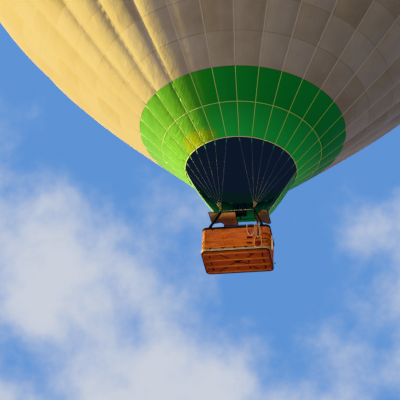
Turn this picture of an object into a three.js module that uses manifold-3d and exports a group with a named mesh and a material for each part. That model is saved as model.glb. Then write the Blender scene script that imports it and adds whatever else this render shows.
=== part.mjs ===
// Hot air balloon in flight: envelope, scoop, flying wires, gimballed double burner and wicker basket.
// Millimetres, +Z up. Heights are given from the foot of the basket, and the balloon's group lowers it
// all, so that the origin is the point on the axis where the air holds the envelope up.
import * as THREE from 'three';
import { mergeVertices } from 'three/addons/utils/BufferGeometryUtils.js';
import Module from 'manifold-3d';

const wasm = await Module();
wasm.setup();

// Driving dimensions
const airHeight = 19500;          // where the air holds the envelope up
const seat = 0.4;                 // gap between pieces that touch

const goreCount = 28;
const goreBulge = 0.09;           // outward belly of a gore, as a share of its width
const fabricThickness = 10;
const mouthRadius = 2207;
const mouthHeight = 4308;
const mouthTilt = 44.7;           // degrees that the cone leans outwards from upright
const ventRadius = 3300;          // opening in the crown, closed by the parachute valve
const valveOverlap = 350;
// Where the envelope's parts end, measured up along the cloth: the green base has two panels, and the
// belt ends at the widest ring
const bandEnds = { green: 2740, lower: 10600, middle: 15300, belt: 19930, shoulder: 24600, upper: 29300 };

const basketLength = 2640;        // X
const basketWidth = 1530;         // Y
const basketHeight = 1100;
const basketCorner = 190;
const wallInset = 15;             // the wall stands this far inside the rim
const wallThickness = 45;
const rimHeight = 90;
const rimWidth = 110;
const floorThickness = 24;

const frameHeight = 2046;         // middle of the burner frame's tubes
const frameHalfX = 650;
const frameHalfY = 500;
const frameTube = 20;
const socketRadius = 38;
const socketBottom = 1990;
const socketTop = 2110;
const shackleTop = 2155;

const gimbalHeight = 2200;
const gimbalHalfX = 590;
const gimbalHalfY = 350;
const gimbalBar = 30;
const pinRadius = 12;
const pinGap = 0.5;

const colours = {
  cream: 0xddb967, green: 0x6fae2c, tape: 0xcbb98c, wire: 0x9a9a96, steel: 0xb9babb, coil: 0x55514d,
  padding: 0x15171f, wicker: 0xa64b15, rawhide: 0x9a7650, leather: 0x1c1714, wood: 0x8a4a1f,
  shield: 0x5f3b24, cylinder: 0x4b4d50, canvas: 0xd8cba4, rope: 0xc59a66, floor: 0x7c340e,
};

const root = new THREE.Group();
const balloon = new THREE.Group();
balloon.position.z = -airHeight;
root.add(balloon);

// Small helpers
function add(name, geometry, colour, roughness = 0.8, metalness = 0) {
  const material = new THREE.MeshStandardMaterial({ color: colour, roughness, metalness });
  const mesh = new THREE.Mesh(geometry, material);
  mesh.name = name;
  balloon.add(mesh);
  return mesh;
}

function solidOf(geometry) {
  const bare = geometry.clone();
  bare.deleteAttribute('normal');
  bare.deleteAttribute('uv');
  const merged = mergeVertices(bare, 1e-3);
  return new wasm.Manifold(new wasm.Mesh({
    numProp: 3,
    vertProperties: Float32Array.from(merged.attributes.position.array),
    triVerts: Uint32Array.from(merged.index.array),
  }));
}

function geometryOf(solid) {
  const mesh = solid.getMesh();
  const geometry = new THREE.BufferGeometry();
  geometry.setAttribute('position', new THREE.BufferAttribute(mesh.vertProperties, 3));
  geometry.setIndex(new THREE.BufferAttribute(mesh.triVerts, 1));
  return geometry;
}

function joined(...geometries) {
  return geometryOf(geometries.map(solidOf).reduce((whole, next) => whole.add(next)));
}

function cut(geometry, ...tools) {
  return geometryOf(tools.map(solidOf).reduce((whole, tool) => whole.subtract(tool), solidOf(geometry)));
}

function box(x0, x1, y0, y1, z0, z1) {
  const geometry = new THREE.BoxGeometry(x1 - x0, y1 - y0, z1 - z0);
  return geometry.translate((x0 + x1) / 2, (y0 + y1) / 2, (z0 + z1) / 2);
}

function rod(from, to, radius, sides) {
  const way = to.clone().sub(from);
  const geometry = new THREE.CylinderGeometry(radius, radius, way.length(), sides);
  const turn = new THREE.Quaternion().setFromUnitVectors(new THREE.Vector3(0, 1, 0), way.clone().normalize());
  geometry.applyQuaternion(turn);
  return geometry.translate(...from.clone().add(to).multiplyScalar(0.5).toArray());
}

// A flat bar between two points, its width along the given side direction
function flatBar(from, to, side, width, thickness) {
  const along = to.clone().sub(from);
  const length = along.length();
  along.normalize();
  const across = side.clone().addScaledVector(along, -side.dot(along)).normalize();
  const through = along.clone().cross(across);
  const geometry = new THREE.BoxGeometry(width, thickness, length);
  geometry.applyMatrix4(new THREE.Matrix4().makeBasis(across, through, along));
  return geometry.translate(...from.clone().addScaledVector(along, length / 2).toArray());
}

// A closed sheet from two grids of points: rows go up, columns go anticlockwise seen from above
function sheetSolid(outer, inner, allRound) {
  const rows = outer.length;
  const columns = outer[0].length;
  const points = [...outer.flat(), ...inner.flat()];
  const faces = [];
  const out = (row, column) => row * columns + (column % columns);
  const back = (row, column) => rows * columns + out(row, column);
  const quad = (a, b, c, d) => faces.push(a, b, c, a, c, d);
  const spans = allRound ? columns : columns - 1;
  for (let column = 0; column < spans; column += 1) {
    const next = column + 1;
    for (let row = 0; row < rows - 1; row += 1) {
      quad(out(row, column), out(row, next), out(row + 1, next), out(row + 1, column));
      quad(back(row, column), back(row + 1, column), back(row + 1, next), back(row, next));
    }
    const top = rows - 1;
    quad(out(0, column), back(0, column), back(0, next), out(0, next));
    quad(out(top, column), out(top, next), back(top, next), back(top, column));
  }
  if (!allRound) {
    const last = columns - 1;
    for (let row = 0; row < rows - 1; row += 1) {
      quad(out(row, 0), out(row + 1, 0), back(row + 1, 0), back(row, 0));
      quad(out(row, last), back(row, last), back(row + 1, last), out(row + 1, last));
    }
  }
  const geometry = new THREE.BufferGeometry().setFromPoints(points);
  geometry.setIndex(faces);
  return geometry;
}

// Envelope meridian: arcs from the mouth up, each turning the wall inwards
const radians = Math.PI / 180;
const meridianArcs = [
  { turn: 1, radius: 300000 },
  { turn: 4, radius: 75000 },
  { turn: 8, radius: 32000 },
  { turn: 72, radius: 9000 },
];
const arcStarts = [{ along: 0, r: mouthRadius, z: mouthHeight, tilt: mouthTilt * radians }];
for (const { turn, radius } of meridianArcs) {
  const start = arcStarts.at(-1);
  const tilt = start.tilt - turn * radians;
  arcStarts.push({
    along: start.along + radius * turn * radians,
    r: start.r + radius * (Math.cos(tilt) - Math.cos(start.tilt)),
    z: start.z + radius * (Math.sin(start.tilt) - Math.sin(tilt)),
    tilt,
  });
}
const crownStart = arcStarts.at(-1);
const crownArcRadius = crownStart.r / Math.cos(crownStart.tilt);   // meets the axis level
const arcRadii = [...meridianArcs.map((arc) => arc.radius), crownArcRadius];
const topLength = crownStart.along + crownArcRadius * (crownStart.tilt + Math.PI / 2);

function meridian(along) {
  let index = arcStarts.findLastIndex((start) => start.along <= along);
  if (index < 0) {
    index = 0;
    const { r, z, tilt } = arcStarts[0];
    return { r: r + along * Math.sin(tilt), z: z + along * Math.cos(tilt), tilt };
  }
  const start = arcStarts[index];
  const radius = arcRadii[index];
  const tilt = start.tilt - (along - start.along) / radius;
  return {
    r: start.r + radius * (Math.cos(tilt) - Math.cos(start.tilt)),
    z: start.z + radius * (Math.sin(start.tilt) - Math.sin(tilt)),
    tilt,
  };
}

// Angles run from the near side (-Y) towards +X, and the load tapes lie half a gore off it
const goreAngle = 2 * Math.PI / goreCount;
const columnCount = 2 * goreCount;
const columnAngle = (column) => (column + 1) * goreAngle / 2;
const isTape = (column) => column % 2 === 0;
const aroundAxis = (r, angle, z) => new THREE.Vector3(r * Math.sin(angle), -r * Math.cos(angle), z);

function bellyDepth(r) {
  return goreBulge * 2 * r * Math.sin(goreAngle / 2);
}

function clothPoint(along, column, offset) {
  const { r, z, tilt } = meridian(along);
  const out = offset - (isTape(column) ? bellyDepth(r) : 0);
  return aroundAxis(r + out * Math.cos(tilt), columnAngle(column), z - out * Math.sin(tilt));
}

const evenly = (from, to, steps) => (
  Array.from({ length: steps + 1 }, (_, step) => from + (to - from) * step / steps));

function clothBand(stations, outerOffset, thickness) {
  const grid = (offset) => stations.map((along) => (
    Array.from({ length: columnCount }, (_, column) => clothPoint(along, column, offset))));
  return sheetSolid(grid(outerOffset), grid(outerOffset - thickness), true);
}

const ventLength = crownStart.along + crownArcRadius * (crownStart.tilt
  + Math.acos(ventRadius / crownArcRadius));
const valveEdge = ventLength - valveOverlap;
const envelopeBands = [
  // name, where it starts and ends, rows of cloth between
  { name: 'green_base', from: 0, to: bandEnds.green, rows: 3 },
  { name: 'cream_lower', from: bandEnds.green, to: bandEnds.lower, rows: 4 },
  { name: 'cream_middle', from: bandEnds.lower, to: bandEnds.middle, rows: 3 },
  { name: 'cream_belt', from: bandEnds.middle, to: bandEnds.belt, rows: 3 },
  { name: 'cream_shoulder', from: bandEnds.belt, to: bandEnds.shoulder, rows: 3 },
  { name: 'cream_upper', from: bandEnds.shoulder, to: bandEnds.upper, rows: 3 },
];
for (const { name, from, to, rows } of envelopeBands) {
  const colour = name === 'green_base' ? colours.green : colours.cream;
  add(`envelope_${name}`, clothBand(evenly(from, to - seat, rows), 0, fabricThickness), colour);
}
const crownRows = [...evenly(bandEnds.upper, valveEdge, 3), ventLength];
add('envelope_cream_crown', clothBand(crownRows, 0, fabricThickness), colours.cream);

// Crown: a ring held by a flat tape from every load tape, across the vent
const crownRing = { inner: 170, outer: 260, height: 30 };
const crownStations = evenly(ventLength, topLength, 3);
const spoke = { width: 40, thickness: 5 };
const spokeGap = 1.6;             // the vent edge is straight between tapes, so its corners come nearer

function crownSpoke(column) {
  const stations = [
    ventLength + spokeGap, ...crownStations.slice(1, -1), topLength - (crownRing.inner + crownRing.outer) / 2];
  const angle = columnAngle(column);
  const across = new THREE.Vector3(Math.cos(angle), Math.sin(angle), 0).multiplyScalar(spoke.width / 2);
  const grid = (offset) => stations.map((along) => {
    const middle = clothPoint(along, column, offset);
    return [middle.clone().sub(across), middle.clone().add(across)];
  });
  return sheetSolid(grid(0), grid(-spoke.thickness), false);
}

const ringBottom = clothPoint(topLength - crownRing.outer, 0, 2 - spoke.thickness).z;
const ringProfile = [
  [crownRing.inner, ringBottom], [crownRing.outer, ringBottom],
  [crownRing.outer, ringBottom + crownRing.height], [crownRing.inner, ringBottom + crownRing.height],
  [crownRing.inner, ringBottom],
].map(([r, z]) => new THREE.Vector2(r, z));
const ring = new THREE.LatheGeometry(ringProfile, goreCount, goreAngle / 2).rotateX(Math.PI / 2);
const tapeColumns = Array.from({ length: goreCount }, (_, gore) => 2 * gore);
add('crown_ring_and_tapes', joined(ring, ...tapeColumns.map(crownSpoke)), colours.tape);

// Parachute valve: a shallow dish under the vent's edge, pressed up by the hot air
const valveLine = (offset) => [valveEdge, ...crownStations].map((along) => {
  const point = clothPoint(along, 0, offset);
  return new THREE.Vector2(along === topLength ? 0 : Math.hypot(point.x, point.y), point.z);
});
const valveProfile = [
  ...valveLine(-fabricThickness - seat - fabricThickness).reverse(),
  ...valveLine(-fabricThickness - seat),
];
const valve = new THREE.LatheGeometry(valveProfile, goreCount, goreAngle / 2).rotateX(Math.PI / 2);
add('parachute_valve', valve, colours.cream);

// Mouth hem with a webbing tab at every load tape
const hem = { length: 50, thickness: 40, outside: 15 };
const tab = { length: 180, width: 30, thickness: 8 };
const corners = {
  near_left: new THREE.Vector3(-frameHalfX, -frameHalfY, shackleTop),
  near_right: new THREE.Vector3(frameHalfX, -frameHalfY, shackleTop),
  far_right: new THREE.Vector3(frameHalfX, frameHalfY, shackleTop),
  far_left: new THREE.Vector3(-frameHalfX, frameHalfY, shackleTop),
};
const cornerOrder = [corners.near_right, corners.far_right, corners.far_left, corners.near_left];
const wiresPerCorner = goreCount / cornerOrder.length;
const cornerOfTape = (tape) => cornerOrder[Math.floor(tape / wiresPerCorner)];
const hemPoint = (tape) => clothPoint(-hem.length / 2, 2 * tape, -fabricThickness / 2);
const tangentAt = (column) => new THREE.Vector3(Math.cos(columnAngle(column)), Math.sin(columnAngle(column)), 0);

function alongWire(tape, distance) {
  const start = hemPoint(tape);
  const way = cornerOfTape(tape).clone().sub(start).normalize();
  return start.addScaledVector(way, distance);
}

const tapes = Array.from({ length: goreCount }, (_, tape) => tape);
const tabs = tapes.map((tape) => (
  flatBar(hemPoint(tape), alongWire(tape, tab.length), tangentAt(2 * tape), tab.width, tab.thickness)));
const hemRing = clothBand([-hem.length, -seat], hem.outside, hem.thickness);
add('mouth_hem_and_tabs', joined(hemRing, ...tabs), colours.tape);

// Flying wires, seven to each corner of the burner frame, with the shackle that gathers them
const wire = { radius: 4, sides: 6 };
const shackle = { half: 32 };

function wireSet(cornerIndex) {
  const corner = cornerOrder[cornerIndex];
  const pieces = [box(
    corner.x - shackle.half, corner.x + shackle.half, corner.y - shackle.half, corner.y + shackle.half,
    socketTop + seat, shackleTop + 20)];
  for (let count = 0; count < wiresPerCorner; count += 1) {
    const tape = cornerIndex * wiresPerCorner + count;
    pieces.push(rod(alongWire(tape, tab.length + seat), corner, wire.radius, wire.sides));
  }
  return joined(...pieces);
}

['near_right', 'far_right', 'far_left', 'near_left'].forEach((name, index) => {
  add(`flying_wires_${name}`, wireSet(index), colours.wire, 0.4, 0.8);
});

// Scoop: cloth outside the wires, from the right round the far side to the left, open in front
const scoop = { standOff: 16, thickness: 6, firstTape: 7, gores: 14, rows: 6, belly: 60, topDrop: 38 };
// Its lower edge stands clear of the frame all round, and comes lowest at the two front corners
const scoopFoot = new THREE.CatmullRomCurve3([
  [1220, -320, 2050], [1150, 200, 2130], [800, 600, 2270], [0, 730, 2368],
  [-820, 620, 2280], [-975, 100, 2130], [-940, -470, 2050],
].map(([x, y, z]) => new THREE.Vector3(x, y, z)));

// A point under a load tape, at a share of the way from the scoop's top edge to its foot
function scoopTapeLine(gore, share, offset) {
  const tape = scoop.firstTape + gore;
  const outward = aroundAxis(1, columnAngle(2 * tape), 0);
  const foot = scoopFoot.getPoint(gore / scoop.gores);
  const head = hemPoint(tape).addScaledVector(outward, scoop.standOff);
  const topShare = scoop.topDrop / (head.z - foot.z);
  return head.lerp(foot, topShare + (1 - topShare) * share).addScaledVector(outward, offset);
}

function scoopGrid(offset) {
  return Array.from({ length: scoop.rows + 1 }, (_, row) => {
    const share = 1 - row / scoop.rows;
    const belly = scoop.belly * Math.sin(Math.PI * share);
    const line = [];
    for (let gore = 0; gore <= scoop.gores; gore += 1) {
      const here = scoopTapeLine(gore, share, offset);
      line.push(here);
      if (gore < scoop.gores) {
        const middle = here.clone().lerp(scoopTapeLine(gore + 1, share, offset), 0.5);
        const outward = aroundAxis(1, columnAngle(2 * (scoop.firstTape + gore) + 1), 0);
        line.push(middle.addScaledVector(outward, belly));
      }
    }
    return line;
  });
}
add('scoop', sheetSolid(scoopGrid(scoop.thickness), scoopGrid(0), false), colours.green);

// Burner frame: four tubes, corner sockets, pivot plates and a flat tether lug
const pivotPlate = { thickness: 16, width: 90, above: 45 };
const lug = { x0: 160, x1: 240, reach: 70, thickness: 14 };

function frameTubes() {
  const pieces = [];
  for (const side of [-1, 1]) {
    pieces.push(rod(
      new THREE.Vector3(-frameHalfX, side * frameHalfY, frameHeight),
      new THREE.Vector3(frameHalfX, side * frameHalfY, frameHeight), frameTube, 12));
    pieces.push(rod(
      new THREE.Vector3(side * frameHalfX, -frameHalfY, frameHeight),
      new THREE.Vector3(side * frameHalfX, frameHalfY, frameHeight), frameTube, 12));
    pieces.push(box(
      side * frameHalfX - pivotPlate.thickness / 2, side * frameHalfX + pivotPlate.thickness / 2,
      -pivotPlate.width / 2, pivotPlate.width / 2, frameHeight, gimbalHeight + pivotPlate.above));
    pieces.push(box(
      lug.x0, lug.x1, side * frameHalfY + Math.min(0, side * lug.reach),
      side * frameHalfY + Math.max(0, side * lug.reach),
      frameHeight - lug.thickness / 2, frameHeight + lug.thickness / 2));
  }
  for (const corner of cornerOrder) {
    pieces.push(rod(
      new THREE.Vector3(corner.x, corner.y, socketBottom),
      new THREE.Vector3(corner.x, corner.y, socketTop), socketRadius, 16));
  }
  return joined(...pieces);
}

function pivotHole(alongX, reach) {
  const way = alongX ? new THREE.Vector3(reach, 0, 0) : new THREE.Vector3(0, reach, 0);
  const middle = new THREE.Vector3(0, 0, gimbalHeight);
  return rod(middle.clone().sub(way), middle.clone().add(way), pinRadius + pinGap, 16);
}
add('burner_frame', cut(frameTubes(), pivotHole(true, frameHalfX + 100)), colours.steel, 0.35, 0.9);

// Gimbal ring: turns on the frame about X and carries the burner about Y
function flatRing(halfX, halfY, bar, z0, z1) {
  return cut(
    box(-halfX, halfX, -halfY, halfY, z0, z1),
    box(-halfX + bar, halfX - bar, -halfY + bar, halfY - bar, z0 - 1, z1 + 1));
}

function pins(alongX, inner, outer) {
  return [-1, 1].map((side) => {
    const way = alongX ? new THREE.Vector3(side, 0, 0) : new THREE.Vector3(0, side, 0);
    const middle = new THREE.Vector3(0, 0, gimbalHeight);
    return rod(
      middle.clone().addScaledVector(way, inner), middle.clone().addScaledVector(way, outer), pinRadius, 16);
  });
}
const gimbalSquare = flatRing(
  gimbalHalfX, gimbalHalfY, gimbalBar, gimbalHeight - gimbalBar / 2, gimbalHeight + gimbalBar / 2);
const gimbalWithHoles = cut(gimbalSquare, pivotHole(false, gimbalHalfY + 50));
add('gimbal_ring', joined(gimbalWithHoles, ...pins(true, gimbalHalfX - 10, frameHalfX + 14)),
  colours.steel, 0.35, 0.9);

// Burner: crossbar on the gimbal, base plate, valve block and two open coil cans
const can = { x: 150, outer: 125, inner: 115, height: 440 };
const crossbar = { halfX: 30, clear: 2, below: 20, above: 20 };
const basePlate = { halfX: 285, halfY: 135, below: 10 };
const valveBlock = { halfX: 230, halfY: 60, bottom: 2125 };
const canFoot = gimbalHeight + crossbar.above;
const burnerBlock = joined(
  box(-crossbar.halfX, crossbar.halfX, -gimbalHalfY + gimbalBar + crossbar.clear,
    gimbalHalfY - gimbalBar - crossbar.clear, gimbalHeight - crossbar.below, canFoot),
  box(-basePlate.halfX, basePlate.halfX, -basePlate.halfY, basePlate.halfY,
    gimbalHeight - basePlate.below, canFoot),
  box(-valveBlock.halfX, valveBlock.halfX, -valveBlock.halfY, valveBlock.halfY,
    valveBlock.bottom, gimbalHeight),
  ...pins(false, gimbalHalfY - gimbalBar - 20, gimbalHalfY + 4));
add('burner_block', burnerBlock, colours.steel, 0.4, 0.8);

const canProfile = [
  [can.inner, 12], [can.inner, can.height], [can.outer, can.height], [can.outer, 0], [0, 0], [0, 12],
  [can.inner, 12],
].map(([r, z]) => new THREE.Vector2(r, z));
[['left', -1], ['right', 1]].forEach(([name, side]) => {
  const shell = new THREE.LatheGeometry(canProfile.toReversed(), 24).rotateX(Math.PI / 2);
  add(`burner_can_${name}`, shell.translate(side * can.x, 0, canFoot + seat), colours.coil, 0.5, 0.7);
});

// Heat shields under the frame: brown sheets with rounded outer corners
const shieldThickness = 12;
const shieldTop = frameHeight - frameTube - seat;

function slab(shape, z0, z1, curveSegments = 6) {
  const geometry = new THREE.ExtrudeGeometry(shape, { depth: z1 - z0, bevelEnabled: false, curveSegments });
  return geometry.translate(0, 0, z0);
}

function leftShieldShape() {
  const shape = new THREE.Shape();
  shape.moveTo(-1095, -512);
  shape.lineTo(-930, -480);
  shape.lineTo(-850, -430);
  shape.lineTo(-100, -430);
  shape.lineTo(-102, 445);
  shape.lineTo(-600, 430);
  shape.quadraticCurveTo(-660, 215, -800, 205);
  shape.lineTo(-950, 250);
  shape.lineTo(-1105, 240);
  shape.lineTo(-1132, -480);
  shape.quadraticCurveTo(-1135, -520, -1095, -512);
  return shape;
}

function rightShieldShape() {
  const shape = new THREE.Shape();
  shape.moveTo(632, -90);
  shape.lineTo(720, -180);
  shape.lineTo(800, -310);
  shape.quadraticCurveTo(900, -450, 1000, -470);
  shape.quadraticCurveTo(1150, -490, 1160, -290);
  shape.lineTo(1180, 380);
  shape.quadraticCurveTo(1175, 500, 1060, 475);
  shape.lineTo(835, 319);
  shape.lineTo(700, 130);
  shape.lineTo(632, 90);
  return shape;
}
add('heat_shield_left', slab(leftShieldShape(), shieldTop - shieldThickness, shieldTop), colours.shield);
add('heat_shield_right', slab(rightShieldShape(), shieldTop - shieldThickness, shieldTop), colours.shield);

// Posts: padded rods from the rim to the sockets, with level ends
const post = { footX: 1030, footY: 712, radius: 48, sides: 14 };

function slantedPost(foot, head) {
  const levelRing = (middle) => Array.from({ length: post.sides }, (_, index) => {
    const angle = 2 * Math.PI * index / post.sides;
    return new THREE.Vector3(
      middle.x + post.radius * Math.cos(angle), middle.y + post.radius * Math.sin(angle), middle.z);
  });
  const points = [...levelRing(foot), ...levelRing(head), foot, head];
  const faces = [];
  for (let index = 0; index < post.sides; index += 1) {
    const next = (index + 1) % post.sides;
    faces.push(index, next, post.sides + next, index, post.sides + next, post.sides + index);
    faces.push(2 * post.sides, next, index);
    faces.push(2 * post.sides + 1, post.sides + index, post.sides + next);
  }
  const geometry = new THREE.BufferGeometry().setFromPoints(points);
  geometry.setIndex(faces);
  return geometry;
}
for (const [name, corner] of Object.entries(corners)) {
  const foot = new THREE.Vector3(
    Math.sign(corner.x) * post.footX, Math.sign(corner.y) * post.footY, basketHeight + seat);
  const head = new THREE.Vector3(corner.x, corner.y, socketBottom - seat);
  add(`post_${name}`, slantedPost(foot, head), colours.padding, 0.7);
}

// Basket: rounded plan, wall panels with foot holes, padded rim, floor and runners
function roundedPlan(inset) {
  const halfX = basketLength / 2 - inset;
  const halfY = basketWidth / 2 - inset;
  const corner = basketCorner - inset;
  const shape = new THREE.Shape();
  shape.moveTo(-halfX + corner, -halfY);
  shape.lineTo(halfX - corner, -halfY);
  shape.absarc(halfX - corner, -halfY + corner, corner, -Math.PI / 2, 0);
  shape.lineTo(halfX, halfY - corner);
  shape.absarc(halfX - corner, halfY - corner, corner, 0, Math.PI / 2);
  shape.lineTo(-halfX + corner, halfY);
  shape.absarc(-halfX + corner, halfY - corner, corner, Math.PI / 2, Math.PI);
  shape.lineTo(-halfX, -halfY + corner);
  shape.absarc(-halfX + corner, -halfY + corner, corner, Math.PI, 1.5 * Math.PI);
  return shape;
}

function planRing(outerInset, innerInset, z0, z1) {
  const shape = roundedPlan(outerInset);
  shape.holes.push(roundedPlan(innerInset));
  return slab(shape, z0, z1);
}
const wallTop = basketHeight - rimHeight - seat;
const innerInset = wallInset + wallThickness;
const wallRing = () => planRing(wallInset, innerInset, 0, wallTop);
const endSplit = basketLength / 2 - basketCorner;   // the long walls take the round corners
const sideSplit = basketWidth / 2 - basketCorner;
const footHole = { width: 200, height: 70, x: 550, heights: [315, 570] };

function footHoles(side) {
  const { x } = footHole;
  const y = side * (basketWidth / 2 - wallInset - wallThickness / 2);
  return footHole.heights.map((z) => box(
    x - footHole.width / 2, x + footHole.width / 2, y - wallThickness, y + wallThickness,
    z - footHole.height / 2, z + footHole.height / 2));
}

function kept(geometry, keep) {
  return geometryOf(solidOf(geometry).intersect(solidOf(keep)));
}
const keepLong = (side) => box(
  -basketLength, basketLength, Math.min(side * (sideSplit + seat / 2), side * basketWidth),
  Math.max(side * (sideSplit + seat / 2), side * basketWidth), -10, basketHeight);
const keepEnd = (side) => box(
  Math.min(side * endSplit, side * basketLength), Math.max(side * endSplit, side * basketLength),
  -sideSplit + seat / 2, sideSplit - seat / 2, -10, basketHeight);
add('wall_near', cut(kept(wallRing(), keepLong(-1)), ...footHoles(-1)), colours.wicker);
add('wall_far', cut(kept(wallRing(), keepLong(1)), ...footHoles(1)), colours.wicker);
add('wall_left', kept(wallRing(), keepEnd(-1)), colours.wicker);
add('wall_right', kept(wallRing(), keepEnd(1)), colours.wicker);

const rimBevel = 18;
const rimShape = roundedPlan(rimBevel);
rimShape.holes.push(roundedPlan(rimWidth - rimBevel));
const rim = new THREE.ExtrudeGeometry(rimShape, {
  depth: rimHeight - 2 * rimBevel, bevelThickness: rimBevel, bevelSize: rimBevel, bevelSegments: 1,
  curveSegments: 5,
});
add('basket_rim', rim.translate(0, 0, basketHeight - rimHeight + rimBevel), colours.leather, 0.55);
add('basket_floor', slab(roundedPlan(innerInset + seat), 0, floorThickness), colours.floor);

const band = { thickness: 8, height: 125 };
add('rawhide_band', planRing(wallInset - seat - band.thickness, wallInset - seat, 0, band.height),
  colours.rawhide, 0.6);

const runner = {
  halfLength: 1230, halfWidth: 40, height: 50,
  places: { near: -600, near_middle: -165, far_middle: 245, far: 630 },
};
for (const [name, y] of Object.entries(runner.places)) {
  add(`runner_${name}`, box(
    -runner.halfLength, runner.halfLength, y - runner.halfWidth, y + runner.halfWidth,
    -seat - runner.height, -seat), colours.wood);
}

// Partitions: a pilot's bay across the left end and a wall between two passenger bays
const partition = { x0: -350, x1: -305, half: 22, top: 1000 };
const innerX = basketLength / 2 - innerInset - seat;
const innerY = basketWidth / 2 - innerInset - seat;
add('partition_across', box(
  partition.x0, partition.x1, -innerY, innerY, floorThickness + seat, partition.top), colours.wicker);
add('partition_along', box(
  partition.x1 + seat, innerX, -partition.half, partition.half, floorThickness + seat, partition.top),
colours.wicker);

// Gas cylinders in the pilot's bay
const tank = { radius: 150, foot: 110, height: 880, clear: 15 };
const tankPlaces = {
  near_left: [-innerX + tank.radius + tank.clear, -innerY + tank.radius + tank.clear],
  far_left: [-innerX + tank.radius + tank.clear, innerY - tank.radius - tank.clear],
  near_right: [partition.x0 - tank.radius - tank.clear, -innerY + tank.radius + tank.clear],
  far_right: [partition.x0 - tank.radius - tank.clear, innerY - tank.radius - tank.clear],
};
const tankProfile = [
  [0, 0], [tank.foot, 0], [tank.foot, 30], [tank.radius, 60], [tank.radius, 720], [130, 765], [90, 785],
  [90, tank.height], [0, tank.height],
].map(([r, z]) => new THREE.Vector2(r, z));
for (const [name, [x, y]] of Object.entries(tankPlaces)) {
  const shell = new THREE.LatheGeometry(tankProfile, 20).rotateX(Math.PI / 2);
  add(`gas_cylinder_${name}`, shell.translate(x, y, floorThickness + seat), colours.cylinder, 0.4, 0.6);
}

// Canvas bag on the right end wall, under the rim
const bag = { y0: -260, y1: -40, bottom: 360, thickness: 85, bevel: 25 };
const bagShape = new THREE.Shape([
  [bag.y0 + bag.bevel, bag.bottom + bag.bevel], [bag.y1 - bag.bevel, bag.bottom + bag.bevel],
  [bag.y1 - bag.bevel, wallTop - bag.bevel], [bag.y0 + bag.bevel, wallTop - bag.bevel],
].map(([y, z]) => new THREE.Vector2(y, z)));
const bagSolid = new THREE.ExtrudeGeometry(bagShape, {
  depth: bag.thickness - 2 * bag.bevel, bevelThickness: bag.bevel, bevelSize: bag.bevel, bevelSegments: 2,
});
bagSolid.applyMatrix4(new THREE.Matrix4().makeBasis(
  new THREE.Vector3(0, 1, 0), new THREE.Vector3(0, 0, 1), new THREE.Vector3(1, 0, 0)));
add('rim_bag', bagSolid.translate(basketLength / 2 - wallInset + seat + bag.bevel, 0, 0), colours.canvas);

// Handling rope: three loops outside the near wall, each with both ends over the rim
const ropeRadius = 14;
const ropeY = -(basketWidth / 2 + 2 * ropeRadius);
const ropeInY = -(basketWidth / 2 - 84);
const ropeTop = basketHeight + 1;
const ropeArch = 68;
const ropeOverTop = (x) => [
  [x, ropeInY, ropeTop], [x, ropeInY, ropeTop + 32], [x, ropeInY - 22, ropeTop + ropeArch - 14],
  [x, (ropeInY + ropeY) / 2, ropeTop + ropeArch], [x, ropeY + 22, ropeTop + ropeArch - 14],
  [x, ropeY + 4, ropeTop + 32],
];
const outside = (pairs) => pairs.map(([x, z]) => [x, ropeY, z]);
const shortLoop = [
  ...ropeOverTop(445),
  ...outside([[446, 1000], [456, 900], [478, 780], [520, 670], [603, 605], [685, 655], [722, 750], [734, 880],
    [736, 1000]]),
  ...ropeOverTop(736).reverse(),
];
const middleLoop = [
  ...ropeOverTop(832),
  ...outside([[832, 1000], [831, 800], [834, 650], [846, 560], [888, 512], [930, 560], [941, 650], [938, 800],
    [912, 930], [880, 1030]]),
  ...ropeOverTop(874).reverse(),
];
const longLoop = [
  ...ropeOverTop(788),
  ...outside([[786, 1000], [776, 770], [776, 560], [764, 400], [752, 270], [762, 140], [808, 62], [879, 34],
    [956, 50], [1012, 110], [1040, 220], [1034, 340], [1006, 450], [992, 600], [984, 780], [955, 930],
    [921, 1030]]),
  ...ropeOverTop(916).reverse(),
];

function ropeTube(points, steps) {
  const path = new THREE.CatmullRomCurve3(points.map(([x, y, z]) => new THREE.Vector3(x, y, z)),
    false, 'centripetal');
  const section = new THREE.Shape();
  section.absarc(0, 0, ropeRadius, 0, 2 * Math.PI);
  return new THREE.ExtrudeGeometry(section, { steps, extrudePath: path, curveSegments: 4 });
}
add('rope_short_loop', ropeTube(shortLoop, 30), colours.rope);
add('rope_middle_loop', ropeTube(middleLoop, 30), colours.rope);
add('rope_long_loop', ropeTube(longLoop, 48), colours.rope);

export default root;
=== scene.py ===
import math

import bmesh
import bpy
import numpy as np
from mathutils import Matrix, Vector


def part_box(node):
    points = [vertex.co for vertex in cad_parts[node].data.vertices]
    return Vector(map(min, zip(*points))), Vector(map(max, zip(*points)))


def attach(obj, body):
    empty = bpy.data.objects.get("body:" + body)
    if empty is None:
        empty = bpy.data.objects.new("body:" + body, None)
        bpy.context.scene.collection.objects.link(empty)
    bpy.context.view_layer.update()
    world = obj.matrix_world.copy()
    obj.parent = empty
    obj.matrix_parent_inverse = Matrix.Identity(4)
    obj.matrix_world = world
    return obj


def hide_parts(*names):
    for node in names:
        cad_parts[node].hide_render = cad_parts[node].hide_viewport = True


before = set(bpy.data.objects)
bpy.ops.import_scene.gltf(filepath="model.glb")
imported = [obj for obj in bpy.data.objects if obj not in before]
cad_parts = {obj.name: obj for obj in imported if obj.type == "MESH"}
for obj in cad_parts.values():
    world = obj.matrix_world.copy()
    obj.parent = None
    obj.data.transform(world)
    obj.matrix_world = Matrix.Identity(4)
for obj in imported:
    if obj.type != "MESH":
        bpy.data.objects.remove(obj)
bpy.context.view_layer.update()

# Everything is in metres. Heights in the settings are above the foot of the basket.
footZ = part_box("basket_floor")[0][2]
goreCount = 28
goreAngle = 2 * math.pi / goreCount


# Small helpers

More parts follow.
